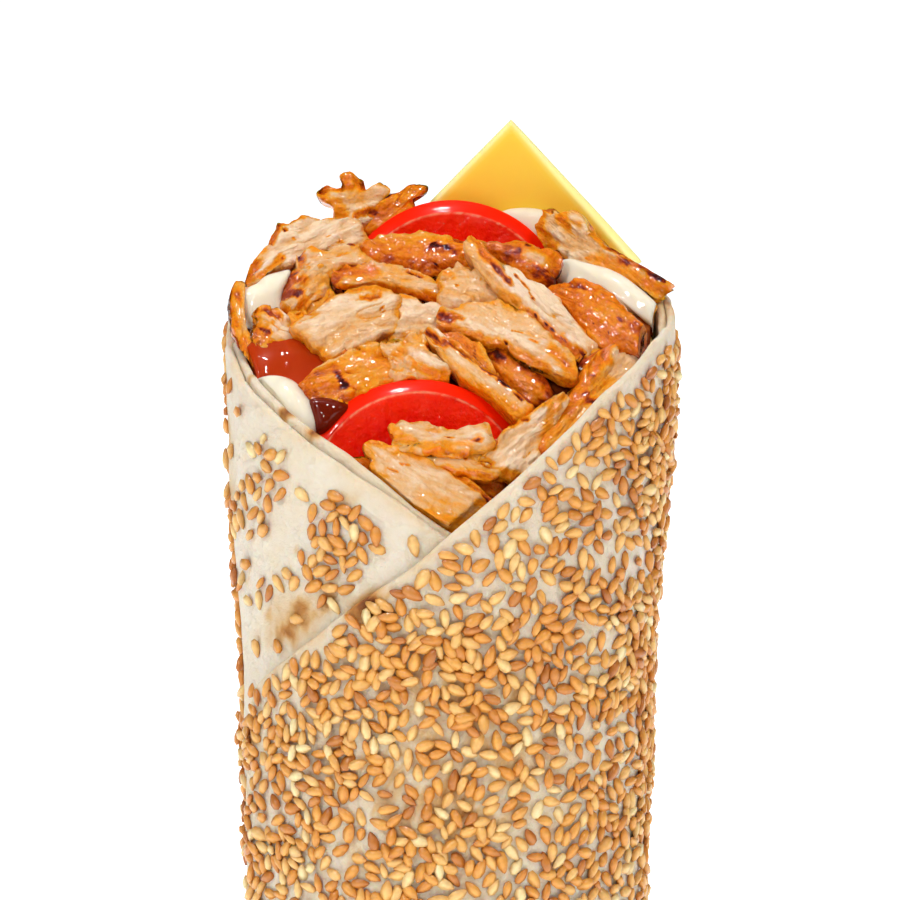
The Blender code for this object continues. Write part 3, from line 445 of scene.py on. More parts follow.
def patches(px, table, value, fade=0.6):
    """Field that each patch (x, y, radius, its value) pulls towards its own value, fading out with
    the distance over the radius."""
    for x, y, radius, own in table:
        far = np.hypot(px[..., 0] - x, px[..., 1] - y) / radius
        value = value + (own - value) * (1.0 - step(far, 1.0 - fade, 1.0 + fade))
    return value


def strokes(px, table, value, wobble):
    """Field pulled towards the value of each stroke (x, y, x, y, radius, value) near its line. A
    darker stroke is narrower, and its rim is more ragged by the wobble."""
    for x0, y0, x1, y1, radius, own in table:
        start, along = np.array((x0, y0)), np.array((x1 - x0, y1 - y0))
        share = np.clip((px - start) @ along / max(along @ along, 1e-9), 0.0, 1.0)
        gap = px - start - share[..., None] * along
        far = np.hypot(gap[..., 0], gap[..., 1]) / (radius * (1.25 - 0.55 * own))
        value = value + (0.93 * own - value) * (1.0 - step(far + wobble * (0.2 + 0.8 * own), 0.2, 1.6))
    return value


# Roll geometry
def roll_radius(height):
    """Outer radius of the roll in mm at a height in mm."""
    return lookup(ROLL_RADIUS, height, 4.0)


def on_roll(angle, radius, height):
    """Points in metres at an angle from the front towards +X (degrees), radius and height (mm)."""
    turned = np.radians(angle)
    right = lookup(ROLL_SHIFT, height, 6.0) + radius * np.sin(turned)
    return np.stack([right, -radius * np.cos(turned), height + 0.0 * turned], -1) * MM


def bread_wave(angle, height):
    """Unevenness of the bread in mm: soft dents 24 mm wide, folds along the roll and small dimples."""
    place = on_roll(angle, 33.0 + 0.0 * height, height) / MM
    folds = 1.0 - np.abs(noise(place, (9.0, 9.0, 42.0), 5))
    return (
        0.42 * noise(place, 24.0, 1) + 0.22 * fractal(place, 8.0, 3, 2)
        + 0.4 * folds**8 + 0.1 * fractal(place, 2.6, 2, 3)
    )


def sesame_edge(turn):
    """Height in mm of the top edge of the sesame bread."""
    return CROSSING_HEIGHT + lookup(SESAME_EDGE, turn, 3.0)


def inner_edge(turn):
    """Height in mm of the top edge of the inner bread."""
    return CROSSING_HEIGHT + lookup(INNER_EDGE, turn, 3.0)


def rim_height(angle):
    """Height in mm of the highest bread edge at an angle."""
    turn = np.mod(FIRST_ANGLE - angle, 360.0)
    again = np.where(turn < SESAME_TURN - 360.0, sesame_edge(turn + 360.0), -999.0)
    return np.maximum.reduce([sesame_edge(turn), again, inner_edge(turn)])


def keep_inside(points, wall=0.0, opening=6.0):
    """Points pressed in to the filling room's wall where they are below the rim of the bread. The
    radius is capped at the room's radius, and the cap opens over `opening` mm above the rim."""
    place = points / MM
    shift = lookup(ROLL_SHIFT, place[..., 2], 6.0)
    angle = np.degrees(np.arctan2(place[..., 0] - shift, -place[..., 1]))
    radius = np.hypot(place[..., 0] - shift, place[..., 1])
    room = roll_radius(place[..., 2]) + lookup(ROOM_OFFSET, np.mod(FIRST_ANGLE - angle, 360.0), 3.0)
    room = room - wall + bread_wave(angle, place[..., 2]) + 0.15
    room = room + 12.0 * step(place[..., 2] - rim_height(angle), -0.5, opening)
    scale = np.minimum(radius, room) / np.maximum(radius, 1e-6)
    out = place.copy()
    out[..., 0] = shift + (place[..., 0] - shift) * scale
    out[..., 1] = place[..., 1] * scale
    return out * MM


# Meshes and pieces
def quads(index):
    """Quads of a grid of vertex numbers, as rows of four."""
    return np.stack([index[:-1, :-1], index[:-1, 1:], index[1:, 1:], index[1:, :-1]], -1).reshape(-1, 4)


def put_mesh(name, points, fours, threes, fields):
    """Smooth mesh from points and rows of quads and triangles, with a point attribute for each field.
    All its faces are turned round where point times normal, summed over the first three corners of
    each face, is negative. That leaves out half of each quad, so it is only near the true volume, and
    thin pieces far from the origin can end up with faces that point inwards."""
    tops = points[np.concatenate([fours[:, :3], threes])]
    if np.einsum("ij,ij->i", tops[:, 0], np.cross(tops[:, 1], tops[:, 2])).sum() < 0.0:
        fours, threes = fours[:, ::-1], threes[:, ::-1]
    mesh = bpy.data.meshes.new(name)
    mesh.from_pydata(points.tolist(), [], fours.tolist() + threes.tolist())
    kinds = {1: ("FLOAT", "value"), 3: ("FLOAT_VECTOR", "vector"), 4: ("FLOAT_COLOR", "color")}
    for field, values in fields.items():
        kind, part = kinds[1 if values.ndim == 1 else values.shape[1]]
        attribute = mesh.attributes.new(field, kind, "POINT")
        attribute.data.foreach_set(part, values.astype(np.float32).ravel())
    mesh.polygons.foreach_set("use_smooth", np.ones(len(mesh.polygons), bool))
    mesh.update()
    return mesh


def with_poles(rings):
    """Rows of a (ring, around, …) array in one list, the first and last ring each as their mean."""
    tail = rings.shape[2:]
    return np.concatenate([rings[:1].mean(1), rings[1:-1].reshape(-1, *tail), rings[-1:].mean(1)])


def rings_faces(count, around):
    """Quads and triangles of a closed body over rings, whose first and last ring are a pole each."""
    index = np.arange((count - 2) * around).reshape(count - 2, around) + 1
    index = np.concatenate([index, index[:, :1]], 1)
    top, bottom = index[0], index[-1]
    last = (count - 2) * around + 1
    threes = np.concatenate([
        np.stack([0 * top[1:], top[1:], top[:-1]], -1),
        np.stack([0 * top[1:] + last, bottom[:-1], bottom[1:]], -1),
    ])
    return quads(index), threes


def rings_body(rings, fields=()):
    """Closed body over rings of points (ring, around, xyz): its points, quads, triangles and fields."""
    own = {key: with_poles(value) for key, value in dict(fields).items()}
    return with_poles(rings), *rings_faces(*rings.shape[:2]), own


def joined_body(bodies):
    """Many bodies in one that share nothing, their vertex numbers shifted one after the other."""
    points, fours, threes, fields = zip(*bodies)
    starts = np.cumsum([0] + [len(own) for own in points[:-1]])
    fours = np.concatenate([own + start for own, start in zip(fours, starts)])
    threes = np.concatenate([own + start for own, start in zip(threes, starts)])
    fields = {key: np.concatenate([own[key] for own in fields]) for key in fields[0]}
    return np.concatenate(points), fours, threes, fields


def sheet_body(middle, normals, half, fields):
    """Closed skin of a sheet: each point of the middle surface moved out and in along its normal by
    the half thickness there. That is nothing on the border, whose points the two faces share."""
    rows, columns = half.shape
    outer = np.arange(rows * columns).reshape(rows, columns)
    inner = outer.copy()
    inner[1:-1, 1:-1] = rows * columns + np.arange((rows - 2) * (columns - 2)).reshape(rows - 2, -1)
    apart = normals * half[..., None]
    front, behind = middle + apart, middle - apart
    points = np.concatenate([front.reshape(-1, 3), behind[1:-1, 1:-1].reshape(-1, 3)])
    fours = np.concatenate([quads(outer), quads(inner)[:, ::-1]])
    own = {key: np.concatenate([value.ravel(), value[1:-1, 1:-1].ravel()]) for key, value in fields.items()}
    return points, fours, np.empty((0, 3), int), own


def add_piece(name, body, material, stands_for=()):
    """Object for a finished body (points, quads, triangles, fields), with its material, riding on the
    one CAD body."""
    mesh = put_mesh(name, *body)
    mesh.materials.append(material)
    piece = bpy.data.objects.new(name, mesh)
    bpy.context.scene.collection.objects.link(piece)
    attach(piece, "root")
    if stands_for:
        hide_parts(*stands_for)
    return piece


# Materials
def linear(code):
    """Linear RGBA of a #RRGGBB colour: sRGB decoding curve on each part."""
    parts = [int(code[place:place + 2], 16) / 255.0 for place in (1, 3, 5)]
    return tuple(p / 12.92 if p <= 0.04045 else ((p + 0.055) / 1.055) ** 2.4 for p in parts) + (1.0,)


def set_inputs(tree, node, inputs):
    """Each input of a node is set to its value, or linked where that is another node's output."""
    for name, value in inputs.items():
        if isinstance(value, bpy.types.NodeSocket):
            tree.links.new(value, node.inputs[name])
        else:
            node.inputs[name].default_value = value


def add_node(tree, kind, inputs=None, output=0, stops=(), **settings):
    """Output of a new node with its settings and inputs, and with a colour ramp's (place, code) stops."""
    node = tree.nodes.new("ShaderNode" + kind)
    for name, value in settings.items():
        setattr(node, name, value)
    set_inputs(tree, node, inputs or {})
    for number, (place, code) in enumerate(stops):
        elements = node.color_ramp.elements
        element = elements[number] if number < 2 else elements.new(place)
        element.position, element.color = place, linear(code)
    return node.outputs[output]


def new_material(name, **values):
    """Material with a principled shader, whose plain values are set on its own sockets. Returns it
    with what adds a node to it and what sets its shader's inputs."""
    material = bpy.data.materials.new(name)
    material.use_nodes = True
    tree = material.node_tree
    shader = tree.nodes["Principled BSDF"]
    set_inputs(tree, shader, {key.replace("_", " "): value for key, value in values.items()})
    return material, partial(add_node, tree), partial(set_inputs, tree, shader)


def bread_material():
    """Baked flour dough: cream and matte, with tan and brown toasted places, faint mottling and a skin
    of fine dimples and creases. An attribute says how brown the dough is; over the lower middle of
    the front it also holds painted shade, the tint of the seeds' shadows."""
    material, node, finish = new_material(
        "baked_flour_dough", Roughness=0.72, Subsurface_Weight=0.55, Subsurface_Scale=0.0018,
        Subsurface_Radius=(1.0, 0.55, 0.28), Specular_IOR_Level=0.35, IOR=1.45,
    )
    place = node("TexCoord", output="Object")
    broad = node("TexNoise", {"Vector": place, "Scale": 1 / (9.0 * MM), "Detail": 5.0, "Roughness": 0.6})
    fine = node("TexNoise", {"Vector": place, "Scale": 1 / (1.3 * MM), "Detail": 3.0, "Roughness": 0.6})
    # toasting, and over the lower middle of the front also painted shade of the seeds
    toast = node("Attribute", output="Fac", attribute_name="toast")
    toast = node("Math", {0: broad, 1: 0.36, 2: toast}, operation="MULTIPLY_ADD")
    toast = node("Math", {0: fine, 1: 0.14, 2: toast}, operation="MULTIPLY_ADD")
    toast = node("Math", {0: toast, 1: 0.17}, operation="SUBTRACT")
    # a crease runs where a noise crosses its middle value
    folded = node("TexNoise", {"Vector": place, "Scale": 1 / (9.0 * MM), "Detail": 2.0, "Roughness": 0.55})
    away = node("Math", {0: folded, 1: 0.5}, operation="SUBTRACT")
    away = node("Math", {0: away}, operation="ABSOLUTE")
    creases = node("Math", {0: away, 1: -20.0, 2: 1.0}, operation="MULTIPLY_ADD", use_clamp=True)
    bubbles = node("TexNoise", {"Vector": place, "Scale": 1 / (3.2 * MM), "Detail": 5.0, "Roughness": 0.62})
    flour = node("TexNoise", {"Vector": place, "Scale": 1 / (0.7 * MM), "Detail": 4.0, "Roughness": 0.6})
    height = node("Math", {0: bubbles, 1: 3.6, 2: flour}, operation="MULTIPLY_ADD")
    height = node("Math", {0: creases, 1: 0.8, 2: height}, operation="MULTIPLY_ADD")
    finish({
        "Base Color": node("ValToRGB", {"Fac": toast}, stops=(
            (0.0, "#E6DCCC"), (0.2, "#DFCFB4"), (0.42, "#D2AC78"), (0.62, "#B98040"), (0.82, "#8E5426"),
            (1.0, "#5F3418"))),
        "Normal": node("Bump", {"Height": height, "Distance": 0.2 * MM}),
    })
    return material


def seed_material():
    """Hulled sesame toasted in the oven: each seed has its own gold, with a waxy shine."""
    material, node, finish = new_material(
        "toasted_sesame", Roughness=0.42, Subsurface_Weight=0.2, Subsurface_Scale=0.0005,
        Subsurface_Radius=(1.0, 0.55, 0.25), Coat_Weight=0.4, Coat_Roughness=0.22, IOR=1.47,
    )
    place = node("TexCoord", output="Object")
    spots = node("TexNoise", {"Vector": place, "Scale": 1 / (0.9 * MM), "Detail": 3.0, "Roughness": 0.55})
    mottle = node("Math", {0: spots, 1: 0.5, 2: 0.75}, operation="MULTIPLY_ADD")
    # the seed colour attribute holds painted shade and painted light on each seed
    own = node("Attribute", output="Color", attribute_name="seed_colour")
    skin = node("TexNoise", {"Vector": place, "Scale": 1 / (0.35 * MM), "Detail": 2.0, "Roughness": 0.55})
    finish({
        "Base Color": node("Mix", {0: 1.0, 6: own, 7: mottle}, 2, data_type="RGBA", blend_type="MULTIPLY"),
        "Normal": node("Bump", {"Height": skin, "Distance": 0.05 * MM}),
    })
    return material


def chicken_material():
    """Shaved grilled chicken: pale moist meat that turns amber, brown and charred where it met the
    grill, as the brown attribute says. That attribute also holds painted shade in hollows, in gaps
    between slices and on slices that lie in shade. Juice gives broken highlights, most on the amber
    meat, and the charred places are dry. The grain attribute has millimetres along and across the fibres."""
    material, node, finish = new_material(
        "grilled_chicken", Subsurface_Weight=0.3, Subsurface_Scale=0.0014, Specular_IOR_Level=0.12,
        Subsurface_Radius=(1.0, 0.45, 0.2), Coat_Roughness=0.05, IOR=1.42,
    )
    place = node("TexCoord", output="Object")
    # grill browning, and also painted shade in hollows, gaps and shaded slices
    brown = node("Attribute", output="Fac", attribute_name="brown")
    grain = node("Attribute", output="Vector", attribute_name="grain")
    grain = node("Mapping", {"Vector": grain, "Scale": (0.3, 1.0, 0.6)})
    fibres = node("TexNoise", {"Vector": grain, "Scale": 1 / 0.6, "Detail": 3.0, "Roughness": 0.5})
    blotches = node("TexNoise", {"Vector": place, "Scale": 1 / (1.2 * MM), "Detail": 5.0, "Roughness": 0.7})
    blotches = node("Math", {0: blotches, 1: 0.5}, operation="SUBTRACT")
    spread = node("Math", {0: brown, 1: 0.75, 2: 0.1}, operation="MULTIPLY_ADD")
    shade = node("Math", {0: blotches, 1: spread, 2: brown}, operation="MULTIPLY_ADD")
    shade = node("Math", {0: fibres, 1: 0.2, 2: shade}, operation="MULTIPLY_ADD")
    shade = node("Math", {0: shade, 1: 0.1}, operation="SUBTRACT")
    dry = node("Math", {0: 1.0, 1: brown}, operation="SUBTRACT", use_clamp=True)
    juicy = node("Math", {0: brown, 1: dry}, operation="MULTIPLY", use_clamp=True)
    swelling = node("TexNoise", {"Vector": place, "Scale": 1 / (1.0 * MM), "Detail": 1.5, "Roughness": 0.5})
    swell = node("Math", {0: brown, 1: 0.9, 2: 0.7}, operation="MULTIPLY_ADD")
    swelling = node("Math", {0: swelling, 1: swell}, operation="MULTIPLY")
    height = node("Math", {0: fibres, 1: 0.9, 2: swelling}, operation="MULTIPLY_ADD")
    juice = node("TexNoise", {"Vector": place, "Scale": 1 / (2.4 * MM), "Detail": 1.0, "Roughness": 0.5})
    finish({
        "Base Color": node("ValToRGB", {"Fac": shade}, stops=(
            (0.0, "#F0D2B0"), (0.13, "#E6B47E"), (0.27, "#EC9E34"), (0.4, "#F29206"), (0.56, "#E67600"),
            (0.72, "#B04000"), (0.86, "#741A00"), (1.0, "#380600"))),
        "Roughness": node("Math", {0: brown, 1: -0.1, 2: 0.5}, operation="MULTIPLY_ADD"),
        "Coat Weight": node("Math", {0: juicy, 1: 3.2, 2: 0.18}, operation="MULTIPLY_ADD"),
        "Normal": node("Bump", {"Height": height, "Distance": 0.55 * MM}),
        "Coat Normal": node("Bump", {"Height": juice, "Distance": 1.3 * MM}),
    })
    return material


def core_material():
    """Inside of the heap: meat in shade, soaked with dark juices; its dark colour is painted shade for the
    gaps between the slices.
    """
    material, node, finish = new_material(
        "juicy_chicken_in_painted_shade", Roughness=0.6, Specular_IOR_Level=0.1, IOR=1.42,
        Subsurface_Weight=0.2, Subsurface_Scale=0.001,
    )
    place = node("TexCoord", output="Object")
    soaked = node("TexNoise", {"Vector": place, "Scale": 1 / (4.0 * MM), "Detail": 4.0, "Roughness": 0.55})
    shreds = node("TexNoise", {"Vector": place, "Scale": 1 / (1.2 * MM), "Detail": 3.0, "Roughness": 0.55})
    finish({
        "Base Color": node("ValToRGB", {"Fac": soaked}, stops=(
            (0.3, "#3C1203"), (0.5, "#7A300A"), (0.7, "#A8561A"))),
        "Normal": node("Bump", {"Height": shreds, "Distance": 0.4 * MM}),
    })
    return material


def tomato_material():
    """Cut tomato: tight glossy skin round wet mottled flesh, with a pale line along the inner edge of
    the skin, which is a painted highlight. The attributes are the skin, that line and how deep in the
    flesh a point is; the depth also rises towards the lower part of each slice, which is painted shade."""
    material, node, finish = new_material(
        "cut_tomato", Subsurface_Weight=0.2, Subsurface_Scale=0.0012, Roughness=0.3,
        Subsurface_Radius=(1.0, 0.1, 0.03), Coat_Weight=0.3, Coat_Roughness=0.05, IOR=1.4,
        Specular_IOR_Level=0.08,
    )
    place = node("TexCoord", output="Object")
    skin = node("Attribute", output="Fac", attribute_name="skin")
    # the pale line is a painted highlight along the skin's inner edge
    cut_line = node("Attribute", output="Fac", attribute_name="cut_line")
    # the depth attribute also holds painted shade towards the bottom of the slice
    depth = node("Attribute", output="Fac", attribute_name="depth")
    mottle = node("TexNoise", {"Vector": place, "Scale": 1 / (2.4 * MM), "Detail": 5.0, "Roughness": 0.7})
    depth = node("Math", {0: mottle, 1: 0.9, 2: depth}, operation="MULTIPLY_ADD")
    depth = node("Math", {0: depth, 1: 0.45}, operation="SUBTRACT")
    flesh = node("ValToRGB", {"Fac": depth}, stops=(
        (0.0, "#FF2600"), (0.35, "#FA1600"), (0.7, "#E60C00"), (1.0, "#BE0600")))
    skinned = node("Mix", {0: skin, 6: flesh, 7: linear("#FC2000")}, 2, data_type="RGBA")
    pulp = node("TexNoise", {"Vector": place, "Scale": 1 / (1.1 * MM), "Detail": 3.0, "Roughness": 0.6})
    bare = node("Math", {0: 1.0, 1: skin}, operation="SUBTRACT")
    pulp = node("Math", {0: pulp, 1: bare}, operation="MULTIPLY")
    bump = node("Bump", {"Height": pulp, "Distance": 0.5 * MM})
    finish({
        "Base Color": node("Mix", {0: cut_line, 6: skinned, 7: linear("#FFA880")}, 2, data_type="RGBA"),
        "Normal": bump,
        "Coat Normal": bump,
    })
    return material


def cheese_material():
    """Young sliced cheese: smooth and lets light through. Its paler band along the cut edges is painted
    light, the glow of light through the thin border.
    """
    material, node, finish = new_material(
        "sliced_cheese", Roughness=0.45, Subsurface_Weight=0.4, Subsurface_Scale=0.002,
        Subsurface_Radius=(1.0, 0.7, 0.2), Specular_IOR_Level=0.3, Coat_Weight=0.08, Coat_Roughness=0.3,
        IOR=1.45,
    )
    place = node("TexCoord", output="Object")
    # the edge attribute brings the painted light of the thin border
    edge = node("Attribute", output="Fac", attribute_name="edge")
    mottle = node("TexNoise", {"Vector": place, "Scale": 1 / (14.0 * MM), "Detail": 2.0, "Roughness": 0.55})
    edge = node("Math", {0: mottle, 1: 0.16, 2: edge}, operation="MULTIPLY_ADD")
    edge = node("Math", {0: edge, 1: 0.08}, operation="SUBTRACT")
    waves = node("TexNoise", {"Vector": place, "Scale": 1 / (3.0 * MM), "Detail": 2.0, "Roughness": 0.55})
    finish({
        "Base Color": node("ValToRGB", {"Fac": edge}, stops=(
            (0.0, "#FFF0A0"), (0.25, "#FFE468"), (0.6, "#FFD844"), (1.0, "#FFD240"))),
        "Normal": node("Bump", {"Height": waves, "Distance": 0.05 * MM}),
    })
    return material


def sauce_material(name, colour, scatter, radius):
    """Thick glossy sauce of one colour with soft light inside and a wet wavy coat."""
    material, node, finish = new_material(
        name, Roughness=0.3, Subsurface_Weight=scatter, Subsurface_Scale=0.003,
        Subsurface_Radius=radius, Coat_Weight=0.6, Coat_Roughness=0.03, IOR=1.46,
        Specular_IOR_Level=0.05,
    )
    place = node("TexCoord", output="Object")
    stirred = node("TexNoise", {"Vector": place, "Scale": 1 / (5.0 * MM), "Detail": 2.0, "Roughness": 0.55})
    tint = node("Math", {0: stirred, 1: 0.24, 2: 0.88}, operation="MULTIPLY_ADD")
    waves = node("TexNoise", {"Vector": place, "Scale": 1 / (4.5 * MM), "Detail": 1.0, "Roughness": 0.4})
    finish({
        "Base Color": node("Mix", {0: 1.0, 6: colour, 7: tint}, 2, data_type="RGBA", blend_type="MULTIPLY"),
        "Coat Normal": node("Bump", {"Height": waves, "Distance": 2.0 * MM}),
    })
    return material


# Bread
def lip(distance):
    """Share of the half thickness at a distance (mm) from a sheet's border: a half circle."""
    part = np.clip(distance / (0.5 * BREAD_THICKNESS), 0.0, 1.0)
    return np.sqrt(1.0 - (1.0 - part) ** 2)


LIP_STEPS = 0.5 * BREAD_THICKNESS * (1.0 - np.cos(np.radians((0, 22, 45, 67, 90))))


def sheet_turns(turn, count):
    """Degrees of roll of the sheet's columns: even, with extra ones at both rounded ends."""
    ends = np.degrees(LIP_STEPS / MEAN_RADIUS)
    return np.concatenate([ends[:-1], np.linspace(ends[-1], turn - ends[-1], count), turn - ends[:-1][::-1]])


def toast_and_shade_field(points, edge_distance):
    """Browning of the bread: toasted patches, tanned edges and scattered freckles. One wide patch is
    partly painted shade, the tint of the seeds' shadows over the lower middle of the front.
    """
    place = points / MM
    px = seen_at(points)
    front = step(-place[..., 1], 0.0, 12.0)
    # the patches include painted shade: the wide first one tints the lower middle like the seeds' shadows
    shown = patches(px, TOAST_AND_SHADE_PATCHES, np.zeros(px.shape[:-1]), 0.7) * front
    blots = step(fractal(place, 17.0, 3, 41), 0.55, 1.15) * 0.5 * (1.0 - front)
    freckles = step(fractal(place, 2.4, 2, 42), 0.85, 1.3) * 0.35
    rim = 0.16 * (1.0 - step(edge_distance, 0.5, 3.0)) * (0.6 + 0.4 * noise(place, 5.0, 43))
    ragged = 0.45 + 1.0 * step(fractal(place, 2.6, 4, 44), -0.6, 0.7)
    return shown * ragged + blots + freckles + rim


def bread_sheet(turn, offsets, edge, columns, rows, bottom, tucked):
    """Rolled sheet as a spiral: radius = roll radius + offset(turn) + waves, height from the bottom
    to the edge. A tucked sheet goes on round a quarter circle and in under the roll."""
    turns = sheet_turns(turn, columns)
    angle = FIRST_ANGLE - turns
    offset = lookup(offsets, turns, 2.0) - 0.5 * BREAD_THICKNESS
    along_edge = on_roll(angle, MEAN_RADIUS + 0.0 * turns, CROSSING_HEIGHT + 0.0 * turns) / MM
    top = edge(turns) + 0.3 * noise(along_edge, 7.0, 9)
    shares = np.linspace(0.0, 1.0, rows)[:, None]
    heights = bottom + shares * (top - LIP_STEPS[-1] - bottom)
    heights = np.concatenate([heights, top - LIP_STEPS[:-1][::-1][:, None]])
    spread = np.broadcast_to(angle, heights.shape)
    wave = bread_wave(spread, heights)
    wall = on_roll(spread, roll_radius(heights) + offset + wave, heights)
    outward = np.stack([np.sin(np.radians(spread)), -np.cos(np.radians(spread)), 0.0 * spread], -1)
    normals = outward
    below = top - heights
    if tucked:
        bend = np.radians(np.linspace(90.0, 0.0, 9, endpoint=False))[:, None]
        curve = CORNER_RADIUS + offset + bread_wave(angle, CORNER_HEIGHT + 0.0 * angle)
        lowest = np.maximum(CORNER_HEIGHT - curve * np.sin(bend), 0.5 * BREAD_THICKNESS)
        centre = roll_radius(CORNER_HEIGHT) - CORNER_RADIUS
        corner = on_roll(np.broadcast_to(angle, (9, angle.size)), centre + curve * np.cos(bend), lowest)
        inwards = np.linspace(3.0, centre, 13, endpoint=False)[:, None]
        flat_height = np.maximum(CORNER_HEIGHT - curve, 0.5 * BREAD_THICKNESS) + 0.0 * inwards
        under = on_roll(np.broadcast_to(angle, (13, angle.size)), inwards + 0.0 * angle, flat_height)
        wall = np.concatenate([under, corner, wall])
        down = np.array((0.0, 0.0, -1.0))
        turning = outward[:1] * np.cos(bend)[..., None] + down * np.sin(bend)[..., None]
        normals = np.concatenate([np.broadcast_to(down, under.shape), turning, outward])
        below = np.concatenate([np.full((22, angle.size), 99.0), below])
    along = np.radians(np.minimum(turns, turn - turns)) * MEAN_RADIUS
    half = 0.5 * BREAD_THICKNESS * lip(below) * lip(along)
    half[0] = half[-1] = 0.0
    half[:, 0] = half[:, -1] = 0.0
    fields = {"toast": toast_and_shade_field(wall, np.minimum(below, along + 0.0 * below))}
    return sheet_body(wall, normals, half * MM, fields)


def tucked_end():
    """Folded layers under the roll: a flat round pad whose rim and underside ripple in pleats.
    Radius runs along a rounded profile, and the pleats are a sawtooth in the angle."""
    around = 160
    angle = np.linspace(0.0, 360.0, around, endpoint=False)
    profile = np.array([
        (0, 0), (6, 0), (12, 0), (18, 0), (22, 0), (24, 0.2), (25, 0.8), (25.6, 1.8), (25.9, 3.2),
        (26.2, 4.6), (27, 6), (27.6, 7.6), (27.6, 9), (26, 10), (14, 10.2), (0, 10.2),
    ])
    pleat = np.mod(angle / 360.0 * 11.0 + 0.2 * np.sin(np.radians(angle * 3.0)), 1.0)
    lift = 0.9 * step(pleat, 0.0, 0.92) * (1.0 - step(pleat, 0.92, 1.0))
    reach = np.clip(profile[:, 0] / 24.0, 0.0, 1.0)[:, None]
    height = profile[:, 1:] + lift * reach * (profile[:, 1:] < 4.0)
    rings = on_roll(np.broadcast_to(angle, height.shape), profile[:, :1] + 0.0 * angle, height)
    place = rings / MM
    toast = 0.2 + 0.35 * step(fractal(place, 9.0, 3, 51), 0.1, 0.9)
    return rings_body(rings, {"toast": toast})


def build_bread():
    """Outer sesame bread, its tucked end and the plain inner bread."""
    material = bread_material()
    outer = bread_sheet(SESAME_TURN, SESAME_OFFSET, sesame_edge, 336, 112, CORNER_HEIGHT, True)
    inner = bread_sheet(INNER_TURN, INNER_OFFSET, inner_edge, 240, 70, INNER_BOTTOM, False)
    add_piece("sesame_bread", outer, material, ("sesame_flatbread",))
    add_piece("bread_tucked_end", tucked_end(), material)
    add_piece("inner_bread", inner, material, ("inner_flatbread",))


# Seeds
def seed_density(px, place, front, outermost):
    """Density of the seeds from 0 to 1: by the picture in front, by patchy noise elsewhere."""
    patchy = np.clip(0.5 + 0.45 * fractal(place, 16.0, 2, 61), 0.1, 1.0)
    flap = patches(px, FLAP_PATCHES, np.clip(0.92 + 0.55 * fractal(place, 8.0, 2, 62), 0.4, 1.6))
    sparse = np.where(outermost, flap, patches(px, SEED_PATCHES, np.full(px.shape[:-1], 0.03)))
    return sparse * front + patchy * (1.0 - front)


def seed_places(count, seed):
    """Seeds thrown at random on the outside of the bread. A seed is two discs along its length, and
    one that would lie closer to another than its local spacing is thrown away."""
    draw = np.random.default_rng(seed)
    throws = 160000                    # many more than find room
    turn = draw.uniform(1.5, SESAME_TURN - 2.5, throws)
    height = draw.uniform(4.0, CROSSING_HEIGHT + 36.0, throws)
    spin = draw.uniform(0.0, math.tau, throws)
    edge_gap = np.where(turn > 345.0, 2.4, 4.0)
    free = height < sesame_edge(turn) - edge_gap
    covered = turn < SESAME_TURN - 360.0
    free &= ~covered | (height > sesame_edge(turn + 360.0) + 1.6)
    turn, height, spin = turn[free], height[free], spin[free]
    angle = FIRST_ANGLE - turn
    points, _ = bread_face(turn, height)
    place = points / MM
    px = seen_at(points)
    front = step(-place[:, 1], -4.0, 8.0)
    density = seed_density(px, place, front, turn > 330.0)
    keep = draw.random(len(turn)) < np.clip(density * 1.6, 0.0, 1.0)
    turn, height, spin, density, angle = (a[keep] for a in (turn, height, spin, density, angle))
    arc = np.stack([-np.radians(turn) * MEAN_RADIUS, height], -1)
    along = np.stack([np.cos(spin), np.sin(spin)], -1) * 0.62
    spacing = 1.14 / np.sqrt(np.clip(density, 0.05, 2.0))
    cells, chosen = {}, []
    for number in range(len(turn)):
        discs = (arc[number] + along[number], arc[number] - along[number])
        cell = tuple((arc[number] // 7.0).astype(int))
        around = [(cell[0] + right, cell[1] + up) for right in (-1, 0, 1) for up in (-1, 0, 1)]
        near = [other for place in around for other in cells.get(place, ())]
        if near:
            others = np.array(near)
            gaps = [np.hypot(*(others - disc).T).min() for disc in discs]
            if min(gaps) < spacing[number]:
                continue
        cells.setdefault(cell, []).extend(discs)
        chosen.append(number)
        if len(chosen) == count:
            break
    return turn[chosen], height[chosen], spin[chosen], density[chosen]


def bread_face(turn, height):
    """Points and outward normals of the outer face of the sesame bread."""
    angle = FIRST_ANGLE - turn
    offset = lookup(SESAME_OFFSET, turn, 2.0)
    curve = CORNER_RADIUS + offset
    bend = np.arcsin(np.clip((CORNER_HEIGHT - height) / curve, 0.0, 1.0))
    wall = roll_radius(np.maximum(height, CORNER_HEIGHT)) + offset + bread_wave(angle, height)
    radius = np.where(height < CORNER_HEIGHT, wall - curve * (1.0 - np.cos(bend)), wall)
    points = on_roll(angle, radius, height)
    turned = np.radians(angle)
    normals = np.stack([np.sin(turned) * np.cos(bend), -np.cos(turned) * np.cos(bend), -np.sin(bend)], -1)
    return points, normals


